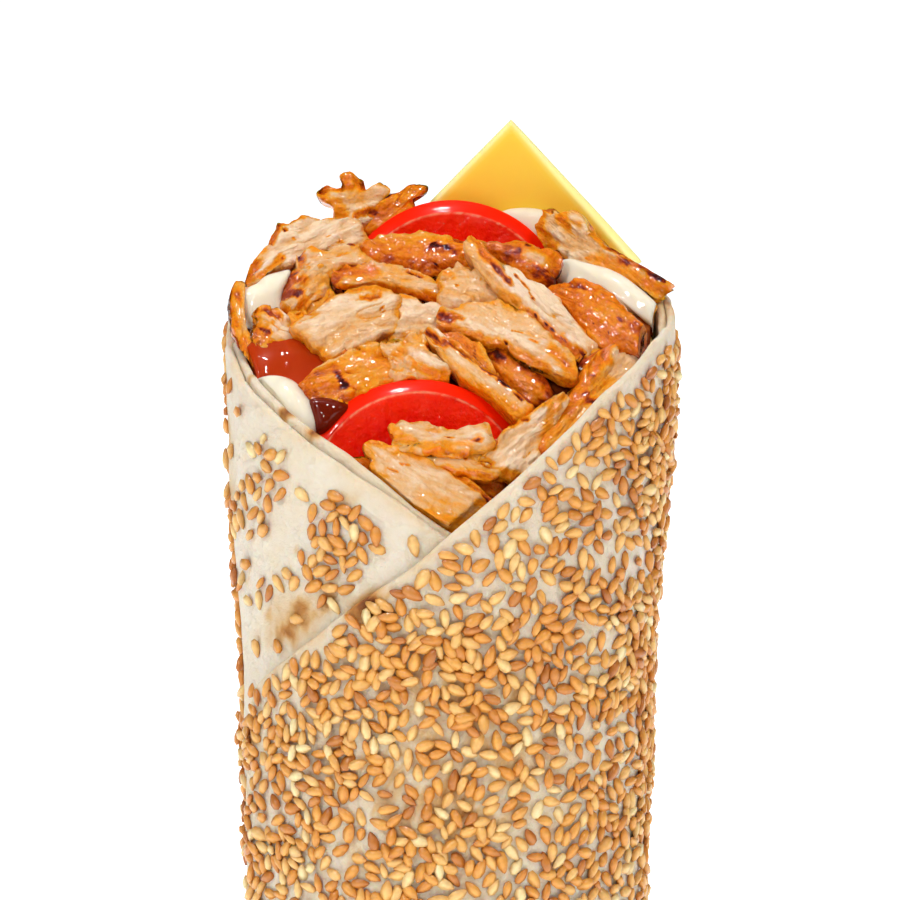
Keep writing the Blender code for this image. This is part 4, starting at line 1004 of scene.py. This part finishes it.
def build_seeds(settings):
    """Toasted sesame seeds pressed into the outside of the bread, all in one mesh."""
    turn, height, spin, density = seed_places(settings.seed_count, settings.random_seed)
    count = len(turn)
    draw = np.random.default_rng(settings.random_seed + 1)
    points, normals = bread_face(turn, height)
    turned = np.radians(FIRST_ANGLE - turn)
    right = np.stack([np.cos(turned), np.sin(turned), 0.0 * turned], -1)
    up = np.cross(normals, right)
    length = np.cos(spin)[:, None] * right + np.sin(spin)[:, None] * up
    tilt = np.radians(draw.normal(0.0, 11.0, count))[:, None]
    length = np.cos(tilt) * length + np.sin(tilt) * normals
    width = np.cross(normals, length)
    width /= np.linalg.norm(width, axis=1)[:, None]
    roll = np.radians(draw.normal(0.0, 16.0, count))[:, None]
    thick = np.cross(length, width)
    width, thick = np.cos(roll) * width + np.sin(roll) * thick, np.cos(roll) * thick - np.sin(roll) * width
    size = draw.normal(1.0, 0.08, count).clip(0.8, 1.2)[:, None]
    heaped = np.clip(density - 0.9, 0.0, 1.0) * draw.random(count)
    lift = (draw.uniform(0.15, 0.6, count) + 1.1 * heaped)[:, None] * MM
    # a teardrop: half width along the length, five corners round it, flattened to two thirds
    shares = np.array((0.0, 0.07, 0.28, 0.56, 0.85, 1.0))
    halves = np.array((0.0, 0.34, 0.76, 1.0, 0.76, 0.0))
    around = np.linspace(0.0, math.tau, 5, endpoint=False) + math.pi / 2.0
    seed_rings = np.stack([
        np.broadcast_to((shares - 0.5)[:, None] * 3.35, (6, 5)),
        halves[:, None] * np.cos(around) * 0.97, halves[:, None] * np.sin(around) * 0.64,
    ], -1) * MM
    template = with_poles(seed_rings)
    axes = np.stack([length, width, thick], 1)
    corners = np.einsum("vk,skc->svc", template, axes) * size[:, None] + (points + lift * normals)[:, None]
    shift = (np.arange(count) * len(template))[:, None, None]
    fours, threes = rings_faces(*seed_rings.shape[:2])
    fours, threes = (fours + shift).reshape(-1, 4), (threes + shift).reshape(-1, 3)
    # colours: mostly gold, some browner, one in eight pale; the pointed end is darker.
    # Each seed also has painted shade, darker and more saturated on its underside and sides, and painted
    # light, a little lighter on its top
    tone = draw.random(count)
    gold = np.array([linear(code)[:3] for code in ("#F2DCA2", "#EEC074", "#E6A448", "#DA8E34", "#BC7028")])
    chosen = np.interp(tone, (0.0, 0.12, 0.48, 0.87, 1.0), (0, 1, 2, 3, 4))
    base = np.stack([np.interp(chosen, np.arange(5), gold[:, part]) for part in range(3)], -1)
    # painted shade and light: darker on the seed's underside and sides, lighter on its top, which faces out
    # from the bread
    rim = np.interp(np.sin(around), (-0.9, 0.0, 0.9), (0.66, 0.8, 1.06))
    tip_and_painted_shade = np.concatenate([[0.5], np.outer((0.72, 0.95, 1.05, 1.0), rim).ravel(), [0.75]])
    colour = np.ones((count, len(template), 4))
    # the powers make the darker parts more saturated, so the painted shade is warm
    colour[..., :3] = base[:, None] * tip_and_painted_shade[None, :, None] ** np.array((0.8, 1.35, 2.1))
    body = corners.reshape(-1, 3), fours, threes, {"seed_colour": colour.reshape(-1, 4)}
    add_piece("sesame_seeds", body, seed_material())


# Filling
def closed_curve(points, count):
    """Smooth closed curve through points: Catmull-Rom cubics, sampled evenly along its length."""
    points = np.array(points, float)
    where = np.linspace(0.0, len(points), 40 * len(points), endpoint=False)
    first = where.astype(int)
    part = (where - first)[:, None]
    p0, p1, p2, p3 = (points[(first + k) % len(points)] for k in (-1, 0, 1, 2))
    dense = 0.5 * (
        2 * p1 + (p2 - p0) * part + (2 * p0 - 5 * p1 + 4 * p2 - p3) * part**2
        + (3 * p1 - p0 - 3 * p2 + p3) * part**3
    )
    closed = np.concatenate([dense, dense[:1]])
    length = np.concatenate([[0.0], np.cumsum(np.hypot(*np.diff(closed, axis=0).T))])
    even = np.linspace(0.0, length[-1], count, endpoint=False)
    return np.stack([np.interp(even, length, closed[:, part]) for part in (0, 1)], -1)


def slab(outline, plane_point, lean, yaw, thickness, squareness, spacing, ragged, seed):
    """Rounded slab whose outline is seen along a closed curve in the picture. Rings run from the
    middle of the front over the rim to the middle of the back, along a superellipse
    |r|^n + |h|^n = 1 sampled evenly. Returns the points, picture positions, height share, radial
    share and front normal."""
    rough = np.array(outline, float)
    reach = 0.5 * np.ptp(rough, axis=0) / PX_PER_MM
    around = int(np.clip(2.0 * math.pi * reach.mean() / spacing, 48, 200))
    curve = closed_curve(rough, around)
    centre = curve.mean(0)
    outward = curve - centre
    outward = outward / np.linalg.norm(outward, axis=1)[:, None]
    local = np.concatenate([curve / PX_PER_MM, np.zeros((around, 1))], 1)
    curve = curve + outward * (ragged * PX_PER_MM * 0.26 * fractal(local, 1.7, 3, seed))[:, None]
    half_width = max(reach.min(), 1.2)
    theta = np.linspace(0.0, math.pi, 1200)
    radial = np.abs(np.sin(theta)) ** (2.0 / squareness)
    height = np.sign(np.cos(theta)) * np.abs(np.cos(theta)) ** (2.0 / squareness)
    steps = np.hypot(np.diff(radial) * half_width, np.diff(height) * 0.5 * thickness)
    length = np.concatenate([[0.0], np.cumsum(steps)])
    count = int(np.clip(length[-1] / spacing, 16, 52))
    even = np.linspace(0.0, length[-1], count)
    radial, height = np.interp(even, length, radial), np.interp(even, length, height)
    right, up, front = plane_axes(lean, yaw)
    px = centre + radial[:, None, None] * (curve - centre)
    ray = sight_ray(px)
    points = EYE + ray * (((plane_point - EYE) @ front) / (ray @ front))[..., None]
    points = points + front * (height * 0.5 * thickness * MM)[:, None, None]
    height, radial = (np.broadcast_to(share[:, None], px.shape[:-1]) for share in (height, radial))
    return points, px, height, radial, front


def slice_frame(px, height, thickness):
    """Coordinates in mm along the fibres, across them and through a slice. The fibres follow the
    longest direction of the outline, the first eigenvector of its spread."""
    rim = px.reshape(-1, 2)
    spread = np.linalg.eigh(np.cov((rim - rim.mean(0)).T))[1][:, -1]
    across = np.array((-spread[1], spread[0]))
    away = (px - rim.mean(0)) / PX_PER_MM
    return np.stack([away @ spread, away @ across, height * 0.5 * thickness], -1)


SLICE_SPACING, SCRAP_SPACING = 0.36, 0.85       # mm between the points of a slice and of a scrap
SLICE_SEED, SCRAP_SEED = 20, 200                # starts of their noise
CORE_DEPTH = 4.2                                # mm from the top of the heap to the core


def slice_surface(figures, seed, spacing):
    """One shaved slice: ragged slab with flakes, fibres, lumps and cracks raised out of its faces. Its
    browned rind falls back from the pale face. Returns the rings of points and their fields."""
    back, lean, yaw, thickness, lumps, base, outline, marks = figures
    outline = np.array(outline, float)
    middle = outline.mean(0)
    shrunk = middle + (outline - middle) * (1.0 - 0.6 / np.ptp(outline, axis=0))
    ray = sight_ray(middle)
    plane_point = EYE + ray * ((back * MM - EYE[1]) / ray[1])
    squareness, ragged = 13.0 - 4.5 * min(lumps, 1.7), 0.7 + 0.5 * lumps
    points, px, height, radial, front = slab(
        shrunk, plane_point, lean, yaw, thickness, squareness, spacing, ragged, seed)
    local = slice_frame(px, height, thickness)
    place = local + seed * 17.3
    swirl = place + np.stack([0.0 * height, 0.9 * noise(place, 5.0, 16), 0.0 * height], -1)
    flakes = 2.0 * fractal(swirl, (5.0, 2.0, 3.0), 3, 9)
    flakes = (np.floor(flakes) + step(flakes - np.floor(flakes), 0.2, 0.8)) / 2.0
    fibres = fractal(swirl, (4.0, 0.7, 2.5), 2, 8)
    knobs = np.abs(noise(place, 2.1, 15)) + 0.5 * np.abs(noise(place, 1.0, 17)) - 0.5
    knobs = knobs * (0.3 + 0.7 * step(radial, 0.5, 0.95))
    cracks = np.maximum(0.0, 1.0 - np.abs(noise(swirl, (6.0, 1.6, 4.0), 10)) / 0.1)
    cracks = cracks * step(noise(place, 3.2, 11), 0.0, 0.5) * (1.0 - step(radial, 0.88, 0.98))
    rim = 0.22 * step(radial, 0.84, 1.0) + 0.1 * step(-height, -0.7, 0.3)
    # cracks and the low parts of flakes, knobs and fibres turn browner, and the raised parts paler: partly
    # the juice in the grooves, partly painted shade in the hollows and painted light on the crests
    brown = base + rim * (0.9 + 0.8 * noise(place, 3.0, 13)) + 0.3 * cracks
    brown = brown - 0.05 * fibres - 0.12 * flakes - 0.08 * knobs
    brown = strokes(px, marks, brown, 0.8 * fractal(place, 1.0, 3, 12))
    rind = step(brown, 0.34, 0.66) * step(radial, 0.45, 0.95)
    relief = (
        0.5 * noise(place, 11.0, 7) + 0.34 * lumps**1.4 * flakes + 0.18 * fibres + 1.0 * lumps**1.5 * knobs
        - 0.4 * cracks - 1.0 * rind
    )
    points = points + front * (relief * np.where(height >= 0.0, 1.0, -0.6) * MM)[..., None]
    specks = step(fractal(place, 0.8, 2, 14), 0.95, 1.2) * 0.5 * step(brown, 0.2, 0.6)
    return keep_inside(points), {"brown": brown + specks, "grain": swirl}


def heap_height(back):
    """Height in mm of the top of the heap at a distance behind the axis in mm."""
    return lookup(HEAP_HEIGHT, back, 3.0)


def build_core(material):
    """Body of the heap: walls along the filling room and a lumpy top under the slices."""
    around = 150
    angle = np.linspace(0.0, 360.0, around, endpoint=False)
    room = lookup(ROOM_OFFSET, np.mod(FIRST_ANGLE - angle, 360.0), 3.0) - 0.3
    rows = []
    lowest = on_roll(angle, roll_radius(CROSSING_HEIGHT) + room, 150.0 + 0.0 * angle) / MM
    brim = heap_height(lowest[:, 1]) - CORE_DEPTH
    rows.append(on_roll(angle, 0.0 * angle, INNER_BOTTOM + 0.0 * angle))
    for share in np.linspace(0.0, 1.0, 24):
        height = INNER_BOTTOM + share * (brim - INNER_BOTTOM)
        rows.append(on_roll(angle, roll_radius(height) + room, height))
    for ring in np.linspace(1.0, 0.0, 40)[1:]:
        radius = ring * (roll_radius(brim) + room)
        height = heap_height(lowest[:, 1] * ring) - CORE_DEPTH
        rows.append(on_roll(angle, radius, height))
    rings = np.array(rows)
    top = np.concatenate([np.zeros(25), step(np.linspace(0.0, 1.0, 39), 0.0, 0.15)])[:, None]
    rings[..., 2] += top * (1.1 * fractal(rings / MM, 6.0, 3, 71) - 0.6) * MM
    add_piece("chicken_core", rings_body(rings), material, ("chicken",))


def scrap_figures(draw):
    """Small scrap lying on the core: a ragged ellipse at a random place under the shown slices."""
    radius, angle = 29.0 * math.sqrt(draw.random()), draw.uniform(0.0, math.tau)
    x, y = radius * math.sin(angle), radius * math.cos(angle)
    sunk = draw.uniform(3.6, 4.8) + (4.0 if y < -12.0 else 0.0)
    point = np.array((x, y, heap_height(y) - sunk)) * MM
    px = seen_at(point)
    long, short, turn = draw.uniform(26, 44), draw.uniform(14, 24), draw.uniform(0.0, math.pi)
    around = np.linspace(0.0, math.tau, 11, endpoint=False)
    wild = 1.0 + draw.uniform(-0.18, 0.18, 11)
    shape = np.stack([long * np.cos(around), short * np.sin(around)], -1) * wild[:, None] * 0.85
    turned = shape @ np.array(((math.cos(turn), math.sin(turn)), (-math.sin(turn), math.cos(turn))))
    outline = [tuple(corner) for corner in px + turned * (1.0, 0.8)]
    lean = draw.uniform(48, 66)
    return (y, lean, draw.uniform(-25, 25), 3.5, 1.4, draw.uniform(0.3, 0.7), outline, ())


def build_chicken(settings):
    """Heap of shaved chicken: dark core, scraps under the slices, and the slices that show."""
    build_core(core_material())
    material = chicken_material()
    draw = np.random.default_rng(settings.random_seed + 2)
    scraps = [
        rings_body(*slice_surface(scrap_figures(draw), SCRAP_SEED + number, SCRAP_SPACING))
        for number in range(settings.scrap_count)
    ]
    add_piece("chicken_scraps", joined_body(scraps), material)
    for number, (name, figures) in enumerate(SLICES.items()):
        body = rings_body(*slice_surface(figures, SLICE_SEED + number, SLICE_SPACING))
        add_piece(f"chicken_{name}", body, material)


def build_tomatoes(settings):
    """Two round slices. The profile is radius and depth, carried round the circle: the flat front,
    the skin falling back over a 2 mm band, the straight side, a rounded corner and the flat back."""
    material = tomato_material()
    whole, half = settings.tomato_radius / MM, 0.5 * settings.tomato_thickness / MM
    band, drop, corner = 2.0, 1.7, 0.55
    share = np.linspace(0.0, 1.0, 12)[1:]
    arc = np.radians(np.linspace(0.0, 90.0, 6))[:-1]
    radius = np.concatenate([
        np.linspace(0.0, whole - band, 50), whole - band * (1.0 - share),
        np.full(5, whole), whole - corner * (1.0 - np.cos(arc)),
        np.linspace(whole - corner, 0.0, 50)])
    depth = np.concatenate([
        np.full(50, half), half - drop * (0.6 * share + 0.4 * share**2),
        np.linspace(half - drop, corner - half, 7)[1:-1], corner - half - corner * np.sin(arc),
        np.full(50, -half)])
    angle = np.linspace(0.0, math.tau, 220, endpoint=False)
    for number, (name, (across, up, back, lean, yaw)) in enumerate(TOMATOES.items()):
        right, upward, front = plane_axes(lean, yaw)
        ray = sight_ray(np.array((MIDDLE_PX + PX_PER_MM * across, MIDDLE_PX - PX_PER_MM * up)))
        centre = EYE + ray * ((back * MM - EYE[1]) / ray[1])
        across, upwards = radius[:, None] * np.sin(angle), radius[:, None] * np.cos(angle)
        flat = np.stack([across, upwards, depth[:, None] + 0.0 * angle], -1)
        wide = 1.0 + 0.012 * noise(flat * (1.0, 1.0, 0.0), 14.0, 80 + number)
        from_edge = whole - radius[:, None] + 0.0 * angle
        facing = np.sign(depth)[:, None]
        # the pale line along the inner edge of the skin band is a painted highlight; it also raises a thin
        # ridge
        line = np.exp(-(((from_edge - band - 0.05) / 0.16) ** 2)) * (facing > 0.0)
        on_face = step(from_edge, band, band + 0.6) * facing
        relief = on_face * (0.16 * fractal(flat, 2.2, 3, 81 + number) - 0.12 * step(from_edge, 6.0, 8.0))
        relief = relief + 0.12 * line
        in_plane = (flat[..., :1] * right + flat[..., 1:2] * upward) * wide[..., None]
        points = centre + MM * (in_plane + (flat[..., 2] + relief)[..., None] * front)
        polar = np.stack([from_edge, angle * whole + 0.0 * from_edge, 0.0 * from_edge], -1)
        streaks = fractal(polar, (3.0, 0.8, 1.0), 3, 83 + number)
        fields = {
            "skin": 1.0 - step(from_edge, band - 0.2, band),
            "cut_line": np.clip(0.55 + 0.6 * streaks, 0.0, 1.0) * line,
            # painted shade: the depth, and with it the darker red, rises towards the lower part of the slice
            "depth": step(from_edge, band, 13.0) - 0.16 * streaks + 0.25 * step(-flat[..., 1], -8.0, 14.0),
        }
        add_piece(name, rings_body(keep_inside(points), fields), material, (name,))


def build_cheese(settings):
    """Square slice on its corner, its border rounded over 0.5 mm. Behind the corner it bends forward
    on both sides by a parabola, more on the right where it follows the bread."""
    reach, thickness = settings.cheese_side / MM / math.sqrt(2.0), settings.cheese_thickness / MM
    corner = np.array((10.1, 30.4, 204.6))
    rim = np.array((0.0, 0.001, 0.004, 0.009))
    share = np.concatenate([rim, np.linspace(0.016, 0.984, 90), 1.0 - rim[::-1]])
    right, left = np.meshgrid(share, share, indexing="ij")
    across = (right - left) * reach
    curl = np.where(across > 0.0, 0.03, 0.0066)
    middle = corner + np.stack([across, -curl * across**2, (right + left - 2.0) * reach], -1)
    normals = np.stack([2.0 * curl * across, 1.0 + 0.0 * across, 0.0 * across], -1)
    normals = normals / np.linalg.norm(normals, axis=-1)[..., None]
    middle = middle + normals * (0.25 * noise(middle, 16.0, 91) - 0.5 * thickness)[..., None]
    nearest = np.minimum(np.minimum(right, 1.0 - right), np.minimum(left, 1.0 - left))
    from_edge = nearest * settings.cheese_side / MM
    rounding = np.sqrt(1.0 - (1.0 - np.clip(from_edge / 0.5, 0.0, 1.0)) ** 2)
    half = 0.5 * thickness * rounding
    # painted light: paler towards the border, as light glows through the thin edge
    fields = {"edge": step(from_edge, 0.0, 2.6)}
    body = sheet_body(keep_inside(middle * MM, 1.2, 1.5), normals, half * MM, fields)
    add_piece("cheese_slice", body, cheese_material(), ("cheese_slice",))


def build_sauces(settings):
    """Mayonnaise and red sauce: smooth rounded slabs, nearly ellipsoids, that swell unevenly."""
    tomato_tint = (1.0, 0.2, 0.05)
    white = sauce_material("whisked_mayonnaise", settings.mayonnaise_colour, 0.5, (1.0, 0.8, 0.5))
    red = sauce_material("tomato_chilli_sauce", settings.red_sauce_colour, 0.2, tomato_tint)
    dark = sauce_material("dark_meat_sauce", settings.meat_sauce_colour, 0.1, tomato_tint)
    materials = {"red_sauce_pool": red, "red_sauce_drip": dark}
    for table, slot in ((MAYONNAISE, "mayonnaise"), (RED_SAUCE, "red_sauce")):
        for number, (name, (back, lean, yaw, thickness, outline)) in enumerate(table.items()):
            ray = sight_ray(np.array(outline, float).mean(0))
            plane_point = EYE + ray * ((back * MM - EYE[1]) / ray[1])
            points, px, height, radial, front = slab(
                outline, plane_point, lean, yaw, thickness, 2.5, 0.4, 0.0, number)
            swell = 0.5 * noise(points / MM, 5.0, 95 + number) * np.sign(height) * (1.0 - radial**2)
            points = points + front * (swell * MM)[..., None]
            body = rings_body(keep_inside(points, 0.0, 16.0))
            add_piece(name, body, materials.get(name, white), (name,))


# Stage

# Lamps: place and size in metres, and power in watts
LAMPS = {
    "softbox_left": ((-0.5, -0.7, 0.95), (0.24, 0.24), 4.4),
    "softbox_right": ((0.42, -0.62, 1.05), (0.2, 0.2), 3.5),
    "softbox_top": ((0.0, 0.3, 1.2), (0.6, 0.4), 4.4),
    "glint_overhead": ((-0.1, -0.12, 1.2), (0.13, 0.12), 5.4),
    "glint_front": ((-0.42, -0.78, 0.72), (0.08, 0.1), 2.6),
    "glint_left": ((-0.75, -0.35, 0.95), (0.11, 0.11), 3.0),
    "glint_right": ((0.55, -0.5, 1.05), (0.11, 0.11), 3.0),
}


def area_light(name, place, size, power, glint):
    """Rectangular lamp aimed at the middle of the sandwich. A glint lamp only shows as a highlight,
    and a soft one only as light, so that wet places sparkle without a grey veil."""
    lamp = bpy.data.lights.new(name, "AREA")
    lamp.shape = "RECTANGLE"
    lamp.size, lamp.size_y = size
    lamp.energy = power
    item = bpy.data.objects.new(name, lamp)
    item.location = place
    item.visible_diffuse, item.visible_glossy = not glint, glint
    item.rotation_euler = (Vector((0.0, 0.0, 0.15)) - Vector(place)).to_track_quat("-Z", "Y").to_euler()
    bpy.context.scene.collection.objects.link(item)


def build_stage(settings):
    """White paper floor, which glows a little so that it stays white, soft light from above and the
    front, and the camera of the picture."""
    mesh = bpy.data.meshes.new("floor")
    mesh.from_pydata([(-6, -4, 0), (6, -4, 0), (6, 8, 0), (-6, 8, 0)], [], [(0, 1, 2, 3)])
    floor = bpy.data.objects.new("floor", mesh)
    bpy.context.scene.collection.objects.link(floor)
    material, _, _ = new_material(
        "white_paper_floor", Base_Color=(0.93, 0.93, 0.93, 1.0), Roughness=0.9, Specular_IOR_Level=0.1,
        Emission_Color=(1.0, 1.0, 1.0, 1.0), Emission_Strength=0.72,
    )
    mesh.materials.append(material)
    world = bpy.data.worlds.new("studio")
    bpy.context.scene.world = world
    world.use_nodes = True
    background = world.node_tree.nodes["Background"]
    background.inputs["Color"].default_value = (1.0, 1.0, 1.0, 1.0)
    background.inputs["Strength"].default_value = settings.room_light
    world.cycles_visibility.glossy = False
    for name, (place, size, power) in LAMPS.items():
        area_light(name, place, size, power * settings.lamp_light, name.startswith("glint"))
    camera = bpy.data.cameras.new("camera")
    camera.sensor_width = 36.0
    camera.lens = camera.sensor_width * FOCAL_PX / PICTURE_PX
    camera.clip_start, camera.clip_end = 0.05, 30.0
    item = bpy.data.objects.new("camera", camera)
    item.location = EYE
    item.rotation_euler = (math.pi / 2.0 - TILT, 0.0, 0.0)
    bpy.context.scene.collection.objects.link(item)
    bpy.context.scene.camera = item
    bpy.context.scene.view_settings.view_transform = "Standard"


# Add-on
class DonerSettings(bpy.types.PropertyGroup):
    """Sizes, colours and counts that the operators read."""

    random_seed: IntProperty(name="Random seed", description="Start of every random draw", default=5)
    seed_count: IntProperty(
        name="Sesame seeds", description="Most seeds on the bread", default=4900, min=1, max=4900)
    scrap_count: IntProperty(
        name="Scraps", description="Scraps of chicken under the slices", default=80, min=1, max=120)
    tomato_radius: FloatProperty(
        name="Tomato radius", description="Radius of the tomato slices", default=19.3 * MM, unit="LENGTH")
    tomato_thickness: FloatProperty(
        name="Tomato thickness", description="Thickness of the tomato slices", default=5.5 * MM,
        unit="LENGTH")
    cheese_side: FloatProperty(
        name="Cheese side", description="Side of the cheese slice", default=34.0 * math.sqrt(2.0) * MM,
        unit="LENGTH")
    cheese_thickness: FloatProperty(
        name="Cheese thickness", description="Thickness of the cheese slice", default=2.2 * MM, unit="LENGTH")
    mayonnaise_colour: FloatVectorProperty(
        name="Mayonnaise", description="Colour of the mayonnaise", size=4, subtype="COLOR", min=0.0, max=1.0,
        default=linear("#F3E8D0"))
    red_sauce_colour: FloatVectorProperty(
        name="Red sauce", description="Colour of the pool of red sauce", size=4, subtype="COLOR", min=0.0,
        max=1.0, default=linear("#B43406"))
    meat_sauce_colour: FloatVectorProperty(
        name="Meat sauce", description="Colour of the dark drip", size=4, subtype="COLOR", min=0.0, max=1.0,
        default=linear("#6A1603"))
    room_light: FloatProperty(
        name="Room light", description="Strength of the even light", default=0.36, min=0.0)
    lamp_light: FloatProperty(
        name="Lamp light", description="Share of the lamps' own power", default=1.0, min=0.0,
        subtype="FACTOR")


class DONER_OT_bread(bpy.types.Operator):
    """Roll the sesame bread and the inner bread"""

    bl_idname = "doner.bread"
    bl_label = "Bread"

    def execute(self, context):
        build_bread()
        return {"FINISHED"}


class DONER_OT_seeds(bpy.types.Operator):
    """Scatter the sesame seeds over the bread"""

    bl_idname = "doner.seeds"
    bl_label = "Seeds"

    def execute(self, context):
        build_seeds(context.scene.doner)
        return {"FINISHED"}


class DONER_OT_chicken(bpy.types.Operator):
    """Heap up the shaved chicken"""

    bl_idname = "doner.chicken"
    bl_label = "Chicken"

    def execute(self, context):
        build_chicken(context.scene.doner)
        return {"FINISHED"}


class DONER_OT_tomatoes(bpy.types.Operator):
    """Add the two tomato slices"""

    bl_idname = "doner.tomatoes"
    bl_label = "Tomatoes"

    def execute(self, context):
        build_tomatoes(context.scene.doner)
        return {"FINISHED"}


class DONER_OT_cheese(bpy.types.Operator):
    """Add the cheese slice"""

    bl_idname = "doner.cheese"
    bl_label = "Cheese"

    def execute(self, context):
        build_cheese(context.scene.doner)
        return {"FINISHED"}


class DONER_OT_sauces(bpy.types.Operator):
    """Add the mayonnaise and the red sauce"""

    bl_idname = "doner.sauces"
    bl_label = "Sauces"

    def execute(self, context):
        build_sauces(context.scene.doner)
        return {"FINISHED"}


class DONER_OT_stage(bpy.types.Operator):
    """Add the floor, light and camera"""

    bl_idname = "doner.stage"
    bl_label = "Stage"

    def execute(self, context):
        build_stage(context.scene.doner)
        return {"FINISHED"}


OPERATORS = (
    DONER_OT_bread,
    DONER_OT_seeds,
    DONER_OT_chicken,
    DONER_OT_tomatoes,
    DONER_OT_cheese,
    DONER_OT_sauces,
    DONER_OT_stage,
)


class DONER_PT_panel(bpy.types.Panel):
    """Sidebar panel with every step."""

    bl_label = "Doner Sandwich"
    bl_idname = "DONER_PT_panel"
    bl_space_type = "VIEW_3D"
    bl_region_type = "UI"
    bl_category = "Doner"

    def draw(self, context):
        settings = context.scene.doner
        for name in DonerSettings.__annotations__:
            self.layout.prop(settings, name)
        for operator in OPERATORS:
            self.layout.operator(operator.bl_idname)


CLASSES = (DonerSettings, *OPERATORS, DONER_PT_panel)


def register():
    for item in CLASSES:
        bpy.utils.register_class(item)
    bpy.types.Scene.doner = PointerProperty(type=DonerSettings)


def unregister():
    del bpy.types.Scene.doner
    for item in reversed(CLASSES):
        bpy.utils.unregister_class(item)


def main():
    """Build everything."""
    register()
    bpy.ops.doner.bread()
    bpy.ops.doner.seeds()
    bpy.ops.doner.chicken()
    bpy.ops.doner.tomatoes()
    bpy.ops.doner.cheese()
    bpy.ops.doner.sauces()
    bpy.ops.doner.stage()


if __name__ == "__main__":
    main()
